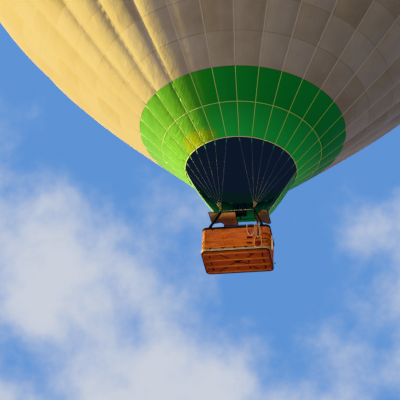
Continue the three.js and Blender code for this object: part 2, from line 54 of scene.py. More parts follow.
def linearColour(hexText):
    # sRGB hex to linear red, green, blue and alpha
    channels = [int(hexText[i:i + 2], 16) / 255 for i in (1, 3, 5)]
    linear = [c / 12.92 if c <= 0.04045 else ((c + 0.055) / 1.055) ** 2.4 for c in channels]
    return (*linear, 1.0)


def setInputs(tree, node, inputs):
    # A socket as a value becomes a link, a node stands for its first live output,
    # and a text is an sRGB colour
    for key, value in inputs.items():
        if isinstance(value, str):
            value = linearColour(value)
        if isinstance(value, bpy.types.Node):
            value = next(socket for socket in value.outputs if socket.enabled)
        if isinstance(value, bpy.types.NodeSocket):
            tree.links.new(value, node.inputs[key])
        else:
            node.inputs[key].default_value = value


def addNode(tree, kind, inputs=None, **settings):
    # One node with its settings, values and links
    node = tree.nodes.new(kind)
    for name, value in settings.items():
        setattr(node, name, value)
    setInputs(tree, node, inputs or {})
    return node


def newMaterial(name, baseColour, roughness, **shaderValues):
    # The shader's other values go by their names, with _ for a space; patterns lie in object coordinates
    material = bpy.data.materials.new(name)
    material.use_nodes = True
    tree = material.node_tree
    shader = tree.nodes["Principled BSDF"]
    others = {key.replace("_", " "): value for key, value in shaderValues.items()}
    setInputs(tree, shader, {"Base Color": baseColour, "Roughness": roughness, **others})
    return material, tree, shader, addNode(tree, "ShaderNodeTexCoord").outputs["Object"]


def addObject(name, data):
    piece = bpy.data.objects.new(name, data)
    bpy.context.scene.collection.objects.link(piece)
    return piece


def meshPiece(name, vertices, faces, materials, faceMaterials=None, uvs=None, smooth=True):
    mesh = bpy.data.meshes.new(name)
    mesh.from_pydata(np.asarray(vertices).tolist(), [], [list(face) for face in faces])
    for material in materials:
        mesh.materials.append(material)
    if faceMaterials is not None:
        mesh.polygons.foreach_set("material_index", np.asarray(faceMaterials, dtype=np.int32))
    if uvs is not None:
        layer = mesh.uv_layers.new(name="cloth")
        layer.data.foreach_set("uv", np.asarray(uvs, dtype=np.float32).ravel())
    mesh.polygons.foreach_set("use_smooth", np.full(len(mesh.polygons), smooth))
    mesh.update()
    return addObject(name, mesh)


def ridesOn(piece, body, slot, *nodes):
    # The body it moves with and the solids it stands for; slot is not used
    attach(piece, body)
    if nodes:
        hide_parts(*nodes)
    return piece


def joinPieces(name, pieces):
    # One mesh from several, with their materials
    bpy.ops.object.select_all(action="DESELECT")
    for piece in pieces:
        piece.select_set(True)
    bpy.context.view_layer.objects.active = pieces[0]
    bpy.ops.object.join()
    pieces[0].name = name
    pieces[0].data.name = name
    return pieces[0]


def up(points):
    # One point or many, given above the foot of the basket, moved into the frame
    moved = np.array(points, dtype=float)
    moved[..., 2] += footZ
    return moved


def aroundAxis(radius, angle, height):
    # Angles run from the near side (-Y) towards +X
    return np.stack(np.broadcast_arrays(radius * np.sin(angle), -radius * np.cos(angle), height), -1)


def fullTurn(steps):
    # Angles spread evenly once round
    return np.linspace(0, 2 * math.pi, steps, endpoint=False)


def gridFaces(rows, columns, closed):
    # The numbers of a grid's points, and of their neighbours one column on
    index = np.arange(rows * columns).reshape(rows, columns)
    nextIndex = np.roll(index, -1, axis=1)
    spans = columns if closed else columns - 1
    return index[:, :spans], nextIndex[:, :spans]


def shellPiece(name, outer, inner, closed, across, along, materials):
    # A closed sheet between two grids: rows go up, columns anticlockwise seen from above.
    # Material 0 is the outside, 1 the inside; the UV map is (across, along).
    rows, columns = outer.shape[:2]
    here, after = gridFaces(rows, columns, closed)
    back = rows * columns
    spans = here.shape[1]
    u0 = np.broadcast_to(across[:spans], (rows - 1, spans))
    u1 = np.broadcast_to(across[1:spans + 1], (rows - 1, spans))
    v0 = np.broadcast_to(np.asarray(along)[:-1, None], (rows - 1, spans))
    v1 = np.broadcast_to(np.asarray(along)[1:, None], (rows - 1, spans))
    outside = np.stack([here[:-1], after[:-1], after[1:], here[1:]], -1).reshape(-1, 4)
    inside = np.stack([here[:-1], here[1:], after[1:], after[:-1]], -1).reshape(-1, 4) + back
    bottom = np.stack([here[0], here[0] + back, after[0] + back, after[0]], -1)
    top = np.stack([here[-1], after[-1], after[-1] + back, here[-1] + back], -1)
    outsideUv = np.stack([u0, v0, u1, v0, u1, v1, u0, v1], -1).reshape(-1, 4, 2)
    insideUv = np.stack([u0, v0, u0, v1, u1, v1, u1, v0], -1).reshape(-1, 4, 2)
    edgeUv = np.zeros((2 * spans, 4, 2))
    edgeUv[:spans, :, 1] = along[0]
    edgeUv[spans:, :, 1] = along[-1]
    faces = [outside, inside, bottom, top]
    uvs = [outsideUv, insideUv, edgeUv]
    if not closed:
        left, right = here[:, 0], after[:, -1]
        faces.append(np.stack([left[:-1], left[1:], left[1:] + back, left[:-1] + back], -1))
        faces.append(np.stack([right[:-1], right[:-1] + back, right[1:] + back, right[1:]], -1))
        uvs.append(np.zeros((2 * (rows - 1), 4, 2)))
    faces = np.concatenate(faces)
    sides = np.zeros(len(faces), dtype=np.int32)
    sides[len(outside):2 * len(outside)] = 1
    points = np.concatenate([outer.reshape(-1, 3), inner.reshape(-1, 3)])
    return meshPiece(name, points, faces, materials, sides, np.concatenate(uvs))


def cappedFaces(rows, columns):
    # Rings of points one after another, with a face over both ends
    index = np.arange(rows * columns).reshape(rows, columns)
    side = np.roll(index, -1, axis=1)
    faces = np.stack([index[:-1], side[:-1], side[1:], index[1:]], -1).reshape(-1, 4).tolist()
    return faces + [index[0][::-1].tolist(), index[-1].tolist()]


def tubeMesh(path, radius, sides, closed=False, section=None):
    # A capped tube along points, its section carried along without twist
    path = np.asarray(path, dtype=float)
    radii = np.broadcast_to(radius, (len(path),))
    if closed:
        ways = np.roll(path, -1, axis=0) - np.roll(path, 1, axis=0)
    else:
        ways = np.gradient(path, axis=0)
    ways /= np.linalg.norm(ways, axis=1)[:, None]
    start = np.array([0, 0, 1.0]) if abs(ways[0][2]) < 0.9 else np.array([1.0, 0, 0])
    across = [np.cross(ways[0], start)]
    for way in ways[1:]:
        across.append(across[-1] - way * np.dot(across[-1], way))
    across = np.array([a / np.linalg.norm(a) for a in across])
    paintedGlowColour = np.cross(ways, across)
    turn = fullTurn(sides)
    if section is None:
        section = np.ones((len(path), sides))
    rings = (path[:, None]
             + across[:, None] * (np.cos(turn) * section * radii[:, None])[..., None]
             + paintedGlowColour[:, None] * (np.sin(turn) * section * radii[:, None])[..., None])
    if not closed:
        return rings.reshape(-1, 3), cappedFaces(len(path), sides)
    index = np.arange(len(path) * sides).reshape(len(path), sides)
    side, ahead = np.roll(index, -1, axis=1), np.roll(index, -1, axis=0)
    faces = np.stack([index, side, np.roll(side, -1, axis=0), ahead], -1).reshape(-1, 4).tolist()
    return rings.reshape(-1, 3), faces


def tubesPiece(name, tubes, materials, materialOf=None):
    # Many tubes in one mesh: tubes is a list of (vertices, faces)
    vertices, faces, chosen = [], [], []
    offset = 0
    for number, (points, quads) in enumerate(tubes):
        vertices.append(points)
        faces.extend([[i + offset for i in face] for face in quads])
        chosen.extend([materialOf[number] if materialOf else 0] * len(quads))
        offset += len(points)
    return meshPiece(name, np.concatenate(vertices), faces, materials, chosen)


def latheMesh(profile, sides, centre=(0, 0, 0)):
    # A closed profile of (radius, height) turned about an upright axis; ends on the axis are closed
    profile = np.asarray(profile, dtype=float)
    turn = fullTurn(sides)
    vertices, rows = [], []
    for radius, height in profile:
        if radius < 1e-6:
            rows.append([len(vertices)] * sides)
            vertices.append((0, 0, height))
        else:
            rows.append(list(range(len(vertices), len(vertices) + sides)))
            vertices.extend((radius * math.cos(a), radius * math.sin(a), height) for a in turn)
    faces = []
    for low, high in zip(rows, rows[1:]):
        for i in range(sides):
            j = (i + 1) % sides
            face = []
            for corner in (low[i], low[j], high[j], high[i]):
                if corner not in face:
                    face.append(corner)
            if len(face) > 2:
                faces.append(face)
    return np.array(vertices) + np.array(centre), faces


def boxMesh(low, high, bevel):
    # A box between two corners, with rounded edges
    low, high = np.array(low, dtype=float), np.array(high, dtype=float)
    work = bmesh.new()
    bmesh.ops.create_cube(work, size=1)
    for vertex in work.verts:
        vertex.co = Vector([low[i] + (vertex.co[i] + 0.5) * (high[i] - low[i]) for i in range(3)])
    bmesh.ops.bevel(work, geom=work.edges[:], offset=bevel, segments=2, profile=0.6, affect="EDGES")
    points = np.array([vertex.co[:] for vertex in work.verts])
    quads = [[vertex.index for vertex in face.verts] for face in work.faces]
    work.free()
    return points, quads


# Geometry Nodes trees

def newTree(name, inputs):
    # A tree from geometry to geometry, with these inputs beside it
    tree = bpy.data.node_groups.new(name, "GeometryNodeTree")
    tree.interface.new_socket("Geometry", in_out="INPUT", socket_type="NodeSocketGeometry")
    tree.interface.new_socket("Geometry", in_out="OUTPUT", socket_type="NodeSocketGeometry")
    for inputName, kind in inputs.items():
        tree.interface.new_socket(inputName, in_out="INPUT", socket_type=kind)
    start = addNode(tree, "NodeGroupInput")
    return tree, start


def endTree(tree, geometry, material):
    # Copies become plain mesh and get their material
    real = addNode(tree, "GeometryNodeRealizeInstances", {"Geometry": geometry})
    painted = addNode(tree, "GeometryNodeSetMaterial", {"Geometry": real, "Material": material})
    addNode(tree, "NodeGroupOutput", {"Geometry": painted})


def treeResult(name, source, tree, values):
    # Runs a tree on a source mesh and keeps the result as a plain mesh
    modifier = source.modifiers.new("build", "NODES")
    modifier.node_group = tree
    for item in tree.interface.items_tree:
        if item.in_out == "INPUT" and item.name in values:
            modifier[item.identifier] = values[item.name]
    graph = bpy.context.evaluated_depsgraph_get()
    mesh = bpy.data.meshes.new_from_object(source.evaluated_get(graph), depsgraph=graph)
    source.modifiers.remove(modifier)
    source.data = mesh
    source.name = name
    mesh.name = name
    return source


def repeatRoundTree():
    # The source mesh copied round the balloon's axis
    tree, start = newTree("repeatRoundAxis", {
        "Count": "NodeSocketInt", "First Angle": "NodeSocketFloat", "Step Angle": "NodeSocketFloat",
        "Material": "NodeSocketMaterial",
    })
    points = addNode(tree, "GeometryNodeMeshLine", {"Count": start.outputs["Count"], "Offset": (0, 0, 0)})
    turned = addNode(tree, "ShaderNodeMath", {
        0: addNode(tree, "GeometryNodeInputIndex"), 1: start.outputs["Step Angle"],
        2: start.outputs["First Angle"],
    }, operation="MULTIPLY_ADD")
    copies = addNode(tree, "GeometryNodeInstanceOnPoints", {
        "Points": points, "Instance": start.outputs["Geometry"],
        "Rotation": addNode(tree, "ShaderNodeCombineXYZ", {"Z": turned}),
    })
    endTree(tree, copies, start.outputs["Material"])
    return tree


def caneTree():
    # Every line of the source mesh becomes a round cane: smoothed, then given its thickness
    tree, start = newTree("canesAlongLines", {
        "Cane Radius": "NodeSocketFloat", "Sides": "NodeSocketInt", "Smoothing": "NodeSocketInt",
        "Material": "NodeSocketMaterial",
    })
    curves = addNode(tree, "GeometryNodeMeshToCurve", {"Mesh": start.outputs["Geometry"]})
    smooth = addNode(tree, "GeometryNodeCurveSplineType", {"Curve": curves}, spline_type="CATMULL_ROM")
    fine = addNode(tree, "GeometryNodeSetSplineResolution", {
        "Geometry": smooth, "Resolution": start.outputs["Smoothing"],
    })
    ring = addNode(tree, "GeometryNodeCurvePrimitiveCircle", {
        "Resolution": start.outputs["Sides"], "Radius": start.outputs["Cane Radius"],
    })
    cane = addNode(tree, "GeometryNodeCurveToMesh", {
        "Curve": fine, "Profile Curve": ring, "Fill Caps": True,
    })
    shaded = addNode(tree, "GeometryNodeSetShadeSmooth", {"Geometry": cane})
    endTree(tree, shaded, start.outputs["Material"])
    return tree


repeatRound = repeatRoundTree()
canesAlongLines = caneTree()


def linesObject(name, lines, closed):
    # Polylines as loose edges, which Geometry Nodes reads as curves
    vertices, edges = [], []
    for line, isClosed in zip(lines, closed):
        first = len(vertices)
        vertices.extend(np.asarray(line).tolist())
        edges.extend([(i, i + 1) for i in range(first, len(vertices) - 1)])
        if isClosed:
            edges.append((len(vertices) - 1, first))
    mesh = bpy.data.meshes.new(name)
    mesh.from_pydata(vertices, edges, [])
    return addObject(name, mesh)


def canes(name, lines, closed, radius, sides, smoothing, material):
    source = linesObject(name, lines, closed)
    return treeResult(name, source, canesAlongLines, {
        "Cane Radius": radius, "Sides": sides, "Smoothing": smoothing, "Material": material,
    })


def curvePoint(points, share):
    # Centripetal Catmull-Rom through given points, as the solids use it; every span is an equal share
    points = np.asarray(points, dtype=float)
    padded = np.vstack([2 * points[0] - points[1], points, 2 * points[-1] - points[-2]])
    spans = len(points) - 1
    span = min(int(share * spans), spans - 1)
    p0, p1, p2, p3 = padded[span:span + 4]
    t1 = np.linalg.norm(p1 - p0) ** 0.5
    t2 = t1 + np.linalg.norm(p2 - p1) ** 0.5
    t3 = t2 + np.linalg.norm(p3 - p2) ** 0.5
    t = t1 + (t2 - t1) * (share * spans - span)
    a1 = (t1 - t) / t1 * p0 + t / t1 * p1
    a2 = (t2 - t) / (t2 - t1) * p1 + (t - t1) / (t2 - t1) * p2
    a3 = (t3 - t) / (t3 - t2) * p2 + (t - t2) / (t3 - t2) * p3
    b1 = (t2 - t) / t2 * a1 + t / t2 * a2
    b2 = (t3 - t) / (t3 - t1) * a2 + (t - t1) / (t3 - t1) * a3
    return (t2 - t) / (t2 - t1) * b1 + (t - t1) / (t2 - t1) * b2


def smoothPath(points, spacing):
    # The same curve as points about this far apart
    line = []
    spans = len(points) - 1
    for span in range(spans):
        steps = max(2, round(float(np.linalg.norm(points[span + 1] - points[span])) / spacing))
        line += [curvePoint(points, (span + step / steps) / spans) for step in range(steps)]
    return np.array(line + [points[-1]])


def stripMesh(start, end, side, width, thickness):
    # A flat bar from start to end: side is the way its width goes
    start, end, side = (np.array(v, dtype=float) for v in (start, end, side))
    along = (end - start) / np.linalg.norm(end - start)
    side -= along * np.dot(side, along)
    half = side / np.linalg.norm(side) * width / 2
    paintedGlowColour = np.cross(along, half / np.linalg.norm(half)) * thickness / 2
    corners = ((-1, -1), (1, -1), (1, 1), (-1, 1))
    points = [tip + a * half + b * paintedGlowColour for tip in (start, end) for a, b in corners]
    quads = [[0, 3, 2, 1], [4, 5, 6, 7], [0, 1, 5, 4], [1, 2, 6, 5], [2, 3, 7, 6], [3, 0, 4, 7]]
    return np.array(points), quads


# Camera, light and floor

view = {
    "place": (10.621, -62.137, -43.091),      # above the foot of the basket
    "heading": 11.113, "climb": 36.058, "roll": 3.037,       # degrees
    "lens": 180, "sensor": 36,
}


def placeCamera():
    heading, climb, roll = (math.radians(view[key]) for key in ("heading", "climb", "roll"))
    level = Vector((-math.sin(heading), math.cos(heading), 0))
    right = Vector((math.cos(heading), math.sin(heading), 0))
    ahead = level * math.cos(climb) + Vector((0, 0, math.sin(climb)))
    above = Vector((0, 0, math.cos(climb))) - level * math.sin(climb)
    rolledRight = right * math.cos(roll) + above * math.sin(roll)
    rolledUp = above * math.cos(roll) - right * math.sin(roll)
    turn = Matrix((rolledRight, rolledUp, -ahead)).transposed().to_4x4()
    camera = addObject("camera", bpy.data.cameras.new("camera"))
    camera.data.lens = view["lens"]
    camera.data.sensor_width = view["sensor"]
    camera.data.clip_end = 1000
    camera.matrix_world = Matrix.Translation(Vector(up(view["place"]))) @ turn
    bpy.context.scene.camera = camera


light = {
    "sunColour": "#ffee7c", "sunStrength": 6.8, "sunSpread": 5,
    "sunFrom": -94, "sunHeight": 18,          # degrees round from the near side, and above level
    # soft lamps whose cones hold the basket and little more: place, aim, power, colour, size, cone in degrees
    "lamps": [
        ((-1.0, -5.0, -6.0), (0.0, 0.0, 0.6), 2300, "#ffe0b8", 1.2, 30),
        ((8.0, -2.5, -3.0), (1.3, 0.1, 1.2), 900, "#ffe2b0", 1.0, 26),
    ],
    # what lights the balloon from the sky and from below, and how strongly
    "skyLeft": "#a4a8bc", "skyRight": "#485374", "belowLeft": "#6d6b82", "belowRight": "#404761",
    "ambient": 2.0,
    "clearSky": "#6c9cdb", "cloud": "#d0d6e2", "cloudPlace": (4.9, 0.0, 0.0),
    "floorColour": "#d9dadb", "floorHalf": 400, "floorBelow": 0.4,
}


def buildSky():
    # The balloon is lit by one pair of colours from above and one from below, and the camera sees clouds
    world = bpy.data.worlds.new("sky")
    bpy.context.scene.world = world
    world.use_nodes = True
    tree = world.node_tree
    way = addNode(tree, "ShaderNodeTexCoord").outputs["Generated"]
    split = addNode(tree, "ShaderNodeSeparateXYZ", {0: way})
    toRight = addNode(tree, "ShaderNodeMapRange", {"Value": split.outputs["X"], "From Min": -1.0})
    upper = addNode(tree, "ShaderNodeMapRange", {
        "Value": split.outputs["Z"], "From Min": -0.1, "From Max": 0.1,
    })
    sky, below = (addNode(tree, "ShaderNodeMix", {"Factor": toRight, "A": light[left], "B": light[right]},
                          data_type="RGBA")
                  for left, right in (("skyLeft", "skyRight"), ("belowLeft", "belowRight")))
    around = addNode(tree, "ShaderNodeMix", {"Factor": upper, "A": below, "B": sky}, data_type="RGBA")
    moved = addNode(tree, "ShaderNodeMapping", {"Vector": way, "Location": light["cloudPlace"]})
    cloud = addNode(tree, "ShaderNodeTexNoise", {
        "Vector": moved, "Scale": 11.0, "Detail": 6.0, "Roughness": 0.55,
    })
    # the clouds thin out upwards
    low = addNode(tree, "ShaderNodeMath", {0: split.outputs["Z"], 1: -1.7, 2: 0.94}, operation="MULTIPLY_ADD")
    cover = addNode(tree, "ShaderNodeMath", {0: cloud, 1: low}, operation="ADD")
    share = addNode(tree, "ShaderNodeMapRange", {"Value": cover, "From Min": 0.4, "From Max": 0.64},
                    interpolation_type="SMOOTHSTEP")
    seen = addNode(tree, "ShaderNodeMix", {"Factor": share, "A": light["clearSky"], "B": light["cloud"]},
                   data_type="RGBA")
    lit = tree.nodes["Background"]
    setInputs(tree, lit, {"Color": around, "Strength": light["ambient"]})
    either = addNode(tree, "ShaderNodeMixShader", {
        0: addNode(tree, "ShaderNodeLightPath").outputs["Is Camera Ray"], 1: lit,
        2: addNode(tree, "ShaderNodeBackground", {"Color": seen}),
    })
    setInputs(tree, tree.nodes["World Output"], {"Surface": either})


def buildStage():
    bpy.context.scene.view_settings.view_transform = "Khronos PBR Neutral"
    sun = addObject("sun", bpy.data.lights.new("sun", "SUN"))
    sun.data.energy = light["sunStrength"]
    sun.data.angle = math.radians(light["sunSpread"])
    sun.data.color = linearColour(light["sunColour"])[:3]
    heading, height = math.radians(light["sunFrom"]), math.radians(light["sunHeight"])
    towards = Vector((math.sin(heading) * math.cos(height), -math.cos(heading) * math.cos(height),
                      math.sin(height)))
    sun.rotation_euler = towards.to_track_quat("Z", "Y").to_euler()

    for place, aim, power, colour, size, cone in light["lamps"]:
        lamp = addObject("lamp", bpy.data.lights.new("lamp", "SPOT"))
        lamp.data.energy = power
        lamp.data.shadow_soft_size = size
        lamp.data.spot_size = math.radians(cone)
        lamp.data.spot_blend = 0.6
        lamp.data.color = linearColour(colour)[:3]
        lamp.visible_camera = False
        lamp.location = Vector(up(place))
        lamp.rotation_euler = (Vector(place) - Vector(aim)).to_track_quat("Z", "Y").to_euler()
    buildSky()

    half, level = light["floorHalf"], view["place"][2] - light["floorBelow"] + footZ
    material, tree, shader, place = newMaterial("paleFloor", light["floorColour"], 0.9)
    noise = addNode(tree, "ShaderNodeTexNoise", {"Vector": place, "Scale": 0.2})
    shade = addNode(tree, "ShaderNodeMapRange", {"Value": noise, "To Min": 0.85, "To Max": 0.95})
    setInputs(tree, shader, {"Roughness": shade})
    corners = [(-half, -half, level), (half, -half, level), (half, half, level), (-half, half, level)]
    floor = meshPiece("floor", corners, [[0, 1, 2, 3]], [material])
    # the balloon is high above it: the floor throws no light up and shades nothing
    floor.visible_diffuse = False
    floor.visible_glossy = False
    floor.visible_shadow = False


placeCamera()
buildStage()
print("stage: camera, sun, sky and floor")


# Envelope

envelope = {
    "mouthRadius": 2.207, "mouthHeight": 4.308, "coneLean": 44.7,
    "arcs": [(1, 300), (4, 75), (8, 32), (72, 9)],      # degrees turned, radius of the arc
    # how far a gore stands out, as a share of its width, at three places up from the mouth
    "bellyAt": [0.0, 2.74, 8.5], "belly": [0.03, 0.045, 0.13],
    "bellyPower": 2.8,             # how squarely it turns in to the load tapes
    "cloth": 0.004,                # drawn thickness, real cloth is a tenth of a millimetre
    "greenEnd": 2.74, "lowerEnd": 10.6, "middleEnd": 15.3, "beltEnd": 19.93,
    "shoulderEnd": 24.6, "upperEnd": 29.3, "ventRadius": 3.3,
    "panelHeight": 1.37,           # between two horizontal seams
    "rowsPerPanel": 8, "columnsPerGore": 12,
    "pucker": 0.012, "puckerLength": 0.34,   # gathers beside the load tapes
    "seamDip": 0.003, "seamWidth": 0.05,     # a seam draws the cloth in, over this share of a panel
    "twist": -0.16, "twistLength": 3.2,      # the body stands turned against its mouth, in gores
}


def meridianStarts():
    # Where each arc of the meridian begins: way along it, radius, height, lean, and the radius of the arc.
    # The last arc is the crown, whose centre lies on the axis.
    lean = math.radians(envelope["coneLean"])
    starts = [(0.0, envelope["mouthRadius"], envelope["mouthHeight"], lean, None)]
    for turn, radius in envelope["arcs"]:
        along, r, z, lean, _ = starts[-1]
        starts[-1] = (along, r, z, lean, radius)
        after = lean - math.radians(turn)
        starts.append((along + radius * math.radians(turn), r + radius * (math.cos(after) - math.cos(lean)),
                       z + radius * (math.sin(lean) - math.sin(after)), after, None))
    along, r, z, lean, _ = starts[-1]
    starts[-1] = (along, r, z, lean, r / math.cos(lean))
    return starts


arcStarts = meridianStarts()
lastAlong, _, _, lastLean, crownArc = arcStarts[-1]
topAlong = lastAlong + crownArc * (lastLean + math.pi / 2)
ventAlong = lastAlong + crownArc * (lastLean + math.acos(envelope["ventRadius"] / crownArc))


def meridian(along):
    # Radius, height and lean of the cloth at these ways up from the mouth
    along = np.asarray(along, dtype=float)
    r = np.empty_like(along)
    z = np.empty_like(along)
    lean = np.empty_like(along)
    for number, (start, startR, startZ, startLean, radius) in enumerate(arcStarts):
        use = along >= start if number else np.full(along.shape, True)
        now = startLean - (along - start) / radius
        r = np.where(use, startR + radius * (np.cos(now) - np.cos(startLean)), r)
        z = np.where(use, startZ + radius * (np.sin(startLean) - np.sin(now)), z)
        lean = np.where(use, now, lean)
    return r, z, lean


def twistAt(along):
    # How far the body stands turned here, in gores
    share = np.clip(np.asarray(along) / envelope["twistLength"], 0, 1)
    return envelope["twist"] * np.sin(share * math.pi / 2)


def bellyDepth(along, r):
    share = np.interp(along, envelope["bellyAt"], envelope["belly"])
    return share.reshape(np.shape(r)) * 2 * r * math.sin(goreAngle / 2)


def clothPoints(along, gore, offset=0.0, pucker=True):
    # gore counts gores from the near side; load tapes lie at half numbers
    r, z, lean = (a[:, None] for a in meridian(along))
    above = np.asarray(along)[:, None]
    gore = np.asarray(gore, dtype=float)[None, :]
    fromMiddle = 2 * np.abs(gore - np.round(gore))
    out = offset - bellyDepth(along, r) * fromMiddle ** envelope["bellyPower"]
    if pucker:
        # uneven waves up the gore, strongest just beside the tape and dying away at the mouth
        wave = np.sin(2 * math.pi * above / envelope["puckerLength"]
                      + 2.3 * np.round(gore) + 1.4 * np.sin(0.9 * above + gore))
        near = fromMiddle ** 3 * (1 - fromMiddle ** 8) * 2
        out = out + envelope["pucker"] * np.minimum(1, r / 4) * wave * near
        seam = np.abs((above / envelope["panelHeight"] + 0.5) % 1 - 0.5) / envelope["seamWidth"]
        out = out - envelope["seamDip"] * np.exp(-seam ** 2) * (1 - fromMiddle ** 2)
    angle = (gore + twistAt(along)[:, None]) * goreAngle
    return up(aroundAxis(r + out * np.cos(lean), angle, z - out * np.sin(lean)))


def envelopeBand(name, fromAlong, toAlong, outside, inside):
    panels = (toAlong - fromAlong) / envelope["panelHeight"]
    rows = max(6, round(panels * envelope["rowsPerPanel"]))
    along = np.linspace(fromAlong, toAlong, rows + 1)
    # a narrow row at both ends keeps the shading flat up to the edge
    along = np.concatenate([along[:1], along[:1] + 0.008, along[1:-1], along[-1:] - 0.008, along[-1:]])
    across = np.arange(goreCount * envelope["columnsPerGore"] + 1) / envelope["columnsPerGore"]
    outer = clothPoints(along, across[:-1])
    inner = clothPoints(along, across[:-1], -envelope["cloth"])
    return shellPiece(name, outer, inner, True, across, along, [outside, inside])


def clothMaterial(name, colour, seamColour, shadeColour, mouthColours=None, sunlitAndPatchTints=None):
    # Ripstop nylon with a polyurethane coat: matt with a slight sheen, each panel of its own dye lot
    material, tree, shader, place = newMaterial(name, colour, 0.62, Sheen_Weight=0.15,
                                                Sheen_Roughness=0.5, Specular_IOR_Level=0.3)
    onCloth = addNode(tree, "ShaderNodeSeparateXYZ", {0: addNode(tree, "ShaderNodeUVMap", uv_map="cloth")})
    goreNumber = addNode(tree, "ShaderNodeMath", {0: onCloth.outputs["X"]}, operation="ROUND")
    panel = addNode(tree, "ShaderNodeMath", {0: onCloth.outputs["Y"], 1: envelope["panelHeight"]},
                    operation="DIVIDE")
    panelNumber = addNode(tree, "ShaderNodeMath", {0: panel}, operation="FLOOR")
    both = addNode(tree, "ShaderNodeCombineXYZ", {"X": goreNumber, "Y": panelNumber})
    lot = addNode(tree, "ShaderNodeTexWhiteNoise", {"Vector": both}, noise_dimensions="2D")
    broad = addNode(tree, "ShaderNodeTexNoise", {
        "Vector": place, "Scale": 0.7, "Detail": 4.0, "Roughness": 0.6,
    })
    tone = addNode(tree, "ShaderNodeMath", {0: lot, 1: 0.45, 2: broad}, operation="MULTIPLY_ADD")
    share = addNode(tree, "ShaderNodeMapRange", {"Value": tone, "From Min": 0.45, "From Max": 1.0})
    base = addNode(tree, "ShaderNodeMix", {"Factor": share, "A": shadeColour, "B": colour}, data_type="RGBA")
    if mouthColours:
        # the row next to the mouth is of another cloth that stands the heat, its colour turning upwards
        lowest = addNode(tree, "ShaderNodeMath", {0: panel, 1: 1.0}, operation="LESS_THAN")
        row = addNode(tree, "ShaderNodeMix", {"Factor": panel, "A": mouthColours[0], "B": mouthColours[1]},
                      data_type="RGBA")
        base = addNode(tree, "ShaderNodeMix", {"Factor": lowest, "A": base, "B": row}, data_type="RGBA")
    if sunlitAndPatchTints:
        # painted sunlight: the side towards the sun is drawn paler and yellower, most of all beside the mouth
        side = addNode(tree, "ShaderNodeSeparateXYZ", {0: place})
        upwards = addNode(tree, "ShaderNodeMapRange", {
            "Value": side.outputs["Z"], "From Min": 4.8 + footZ, "From Max": 6.2 + footZ,
            "To Min": 0.92, "To Max": 0.5,
        })
        sunny = addNode(tree, "ShaderNodeMapRange", {
            "Value": side.outputs["X"], "From Min": -0.3, "From Max": -1.9, "To Max": upwards,
        }, interpolation_type="SMOOTHSTEP")
        base = addNode(tree, "ShaderNodeMix", {"Factor": sunny, "A": base, "B": sunlitAndPatchTints[0]}, data_type="RGBA")
        # yellow patches beside the mouth, in the second tint
        for x, y, z, near, far, most in yellowPatchPlaces:
            away = addNode(tree, "ShaderNodeVectorMath", {0: place, 1: up((x, y, z)).tolist()},
                           operation="DISTANCE")
            patchShare = addNode(tree, "ShaderNodeMapRange", {
                "Value": away.outputs["Value"], "From Min": near, "From Max": far,
                "To Min": most, "To Max": 0.0,
            }, interpolation_type="SMOOTHSTEP")
            base = addNode(tree, "ShaderNodeMix", {"Factor": patchShare, "A": base, "B": sunlitAndPatchTints[1]},
                           data_type="RGBA")
    # Horizontal seams: two rows of stitching on a doubled edge, about 40 mm high
    toSeam = addNode(tree, "ShaderNodeMath", {0: panel, 1: 0.5}, operation="PINGPONG")
    seam = addNode(tree, "ShaderNodeMapRange", {
        "Value": toSeam, "From Min": 0.008, "From Max": 0.022, "To Min": 1.0, "To Max": 0.0,
    })
    seamed = addNode(tree, "ShaderNodeMix", {"Factor": seam, "A": base, "B": seamColour}, data_type="RGBA")
    # The ripstop grid is 5 mm in the real cloth and drawn at 60 mm, so that it shows at all
    grid = addNode(tree, "ShaderNodeTexWave", {"Vector": place, "Scale": 5.2, "Distortion": 0.6},
                   wave_profile="SIN")
    crease = addNode(tree, "ShaderNodeTexNoise", {
        "Vector": place, "Scale": 2.2, "Detail": 6.0, "Roughness": 0.6, "Distortion": 0.4,
    })
    relief = addNode(tree, "ShaderNodeMath", {0: grid.outputs["Fac"], 1: 0.08, 2: crease},
                     operation="MULTIPLY_ADD")
    bump = addNode(tree, "ShaderNodeBump", {"Height": relief, "Strength": 0.5, "Distance": 0.07})
    rough = addNode(tree, "ShaderNodeMapRange", {"Value": broad, "To Min": 0.5, "To Max": 0.72})
    setInputs(tree, shader, {"Base Color": seamed, "Normal": bump, "Roughness": rough})
    return material


def liningMaterial():
    # Coated nylon, with painted shade dark under the mouth and painted light paler towards the foot, where
    # daylight comes in, and brighter still towards the sunlit left
    material, tree, shader, place = newMaterial("greenScoopLining", "#45a856", 0.7, Specular_IOR_Level=0.2)
    split = addNode(tree, "ShaderNodeSeparateXYZ", {0: place})
    down = addNode(tree, "ShaderNodeMapRange", {
        "Value": split.outputs["Z"], "From Min": 4.4 + footZ, "From Max": 2.8 + footZ,
    }, interpolation_type="SMOOTHSTEP")
    toLeft = addNode(tree, "ShaderNodeMapRange", {
        "Value": split.outputs["X"], "From Min": -0.45, "From Max": -1.0, "To Max": 0.95,
    }, interpolation_type="SMOOTHSTEP")
    base = addNode(tree, "ShaderNodeMix", {"Factor": down, "A": "#28503c", "B": "#5cc86c"}, data_type="RGBA")
    # painted sunlight on the left, near the foot
    sunlitLeft = addNode(tree, "ShaderNodeMix", {"Factor": toLeft, "A": base, "B": "#7df078"}, data_type="RGBA")
    seen = addNode(tree, "ShaderNodeMix", {"Factor": down, "A": base, "B": sunlitLeft}, data_type="RGBA")
    crease = addNode(tree, "ShaderNodeTexNoise", {
        "Vector": place, "Scale": 2.4, "Detail": 5.0, "Roughness": 0.6,
    })
    bump = addNode(tree, "ShaderNodeBump", {"Height": crease, "Strength": 0.4, "Distance": 0.05})
    setInputs(tree, shader, {"Base Color": seen, "Normal": bump})
    return material


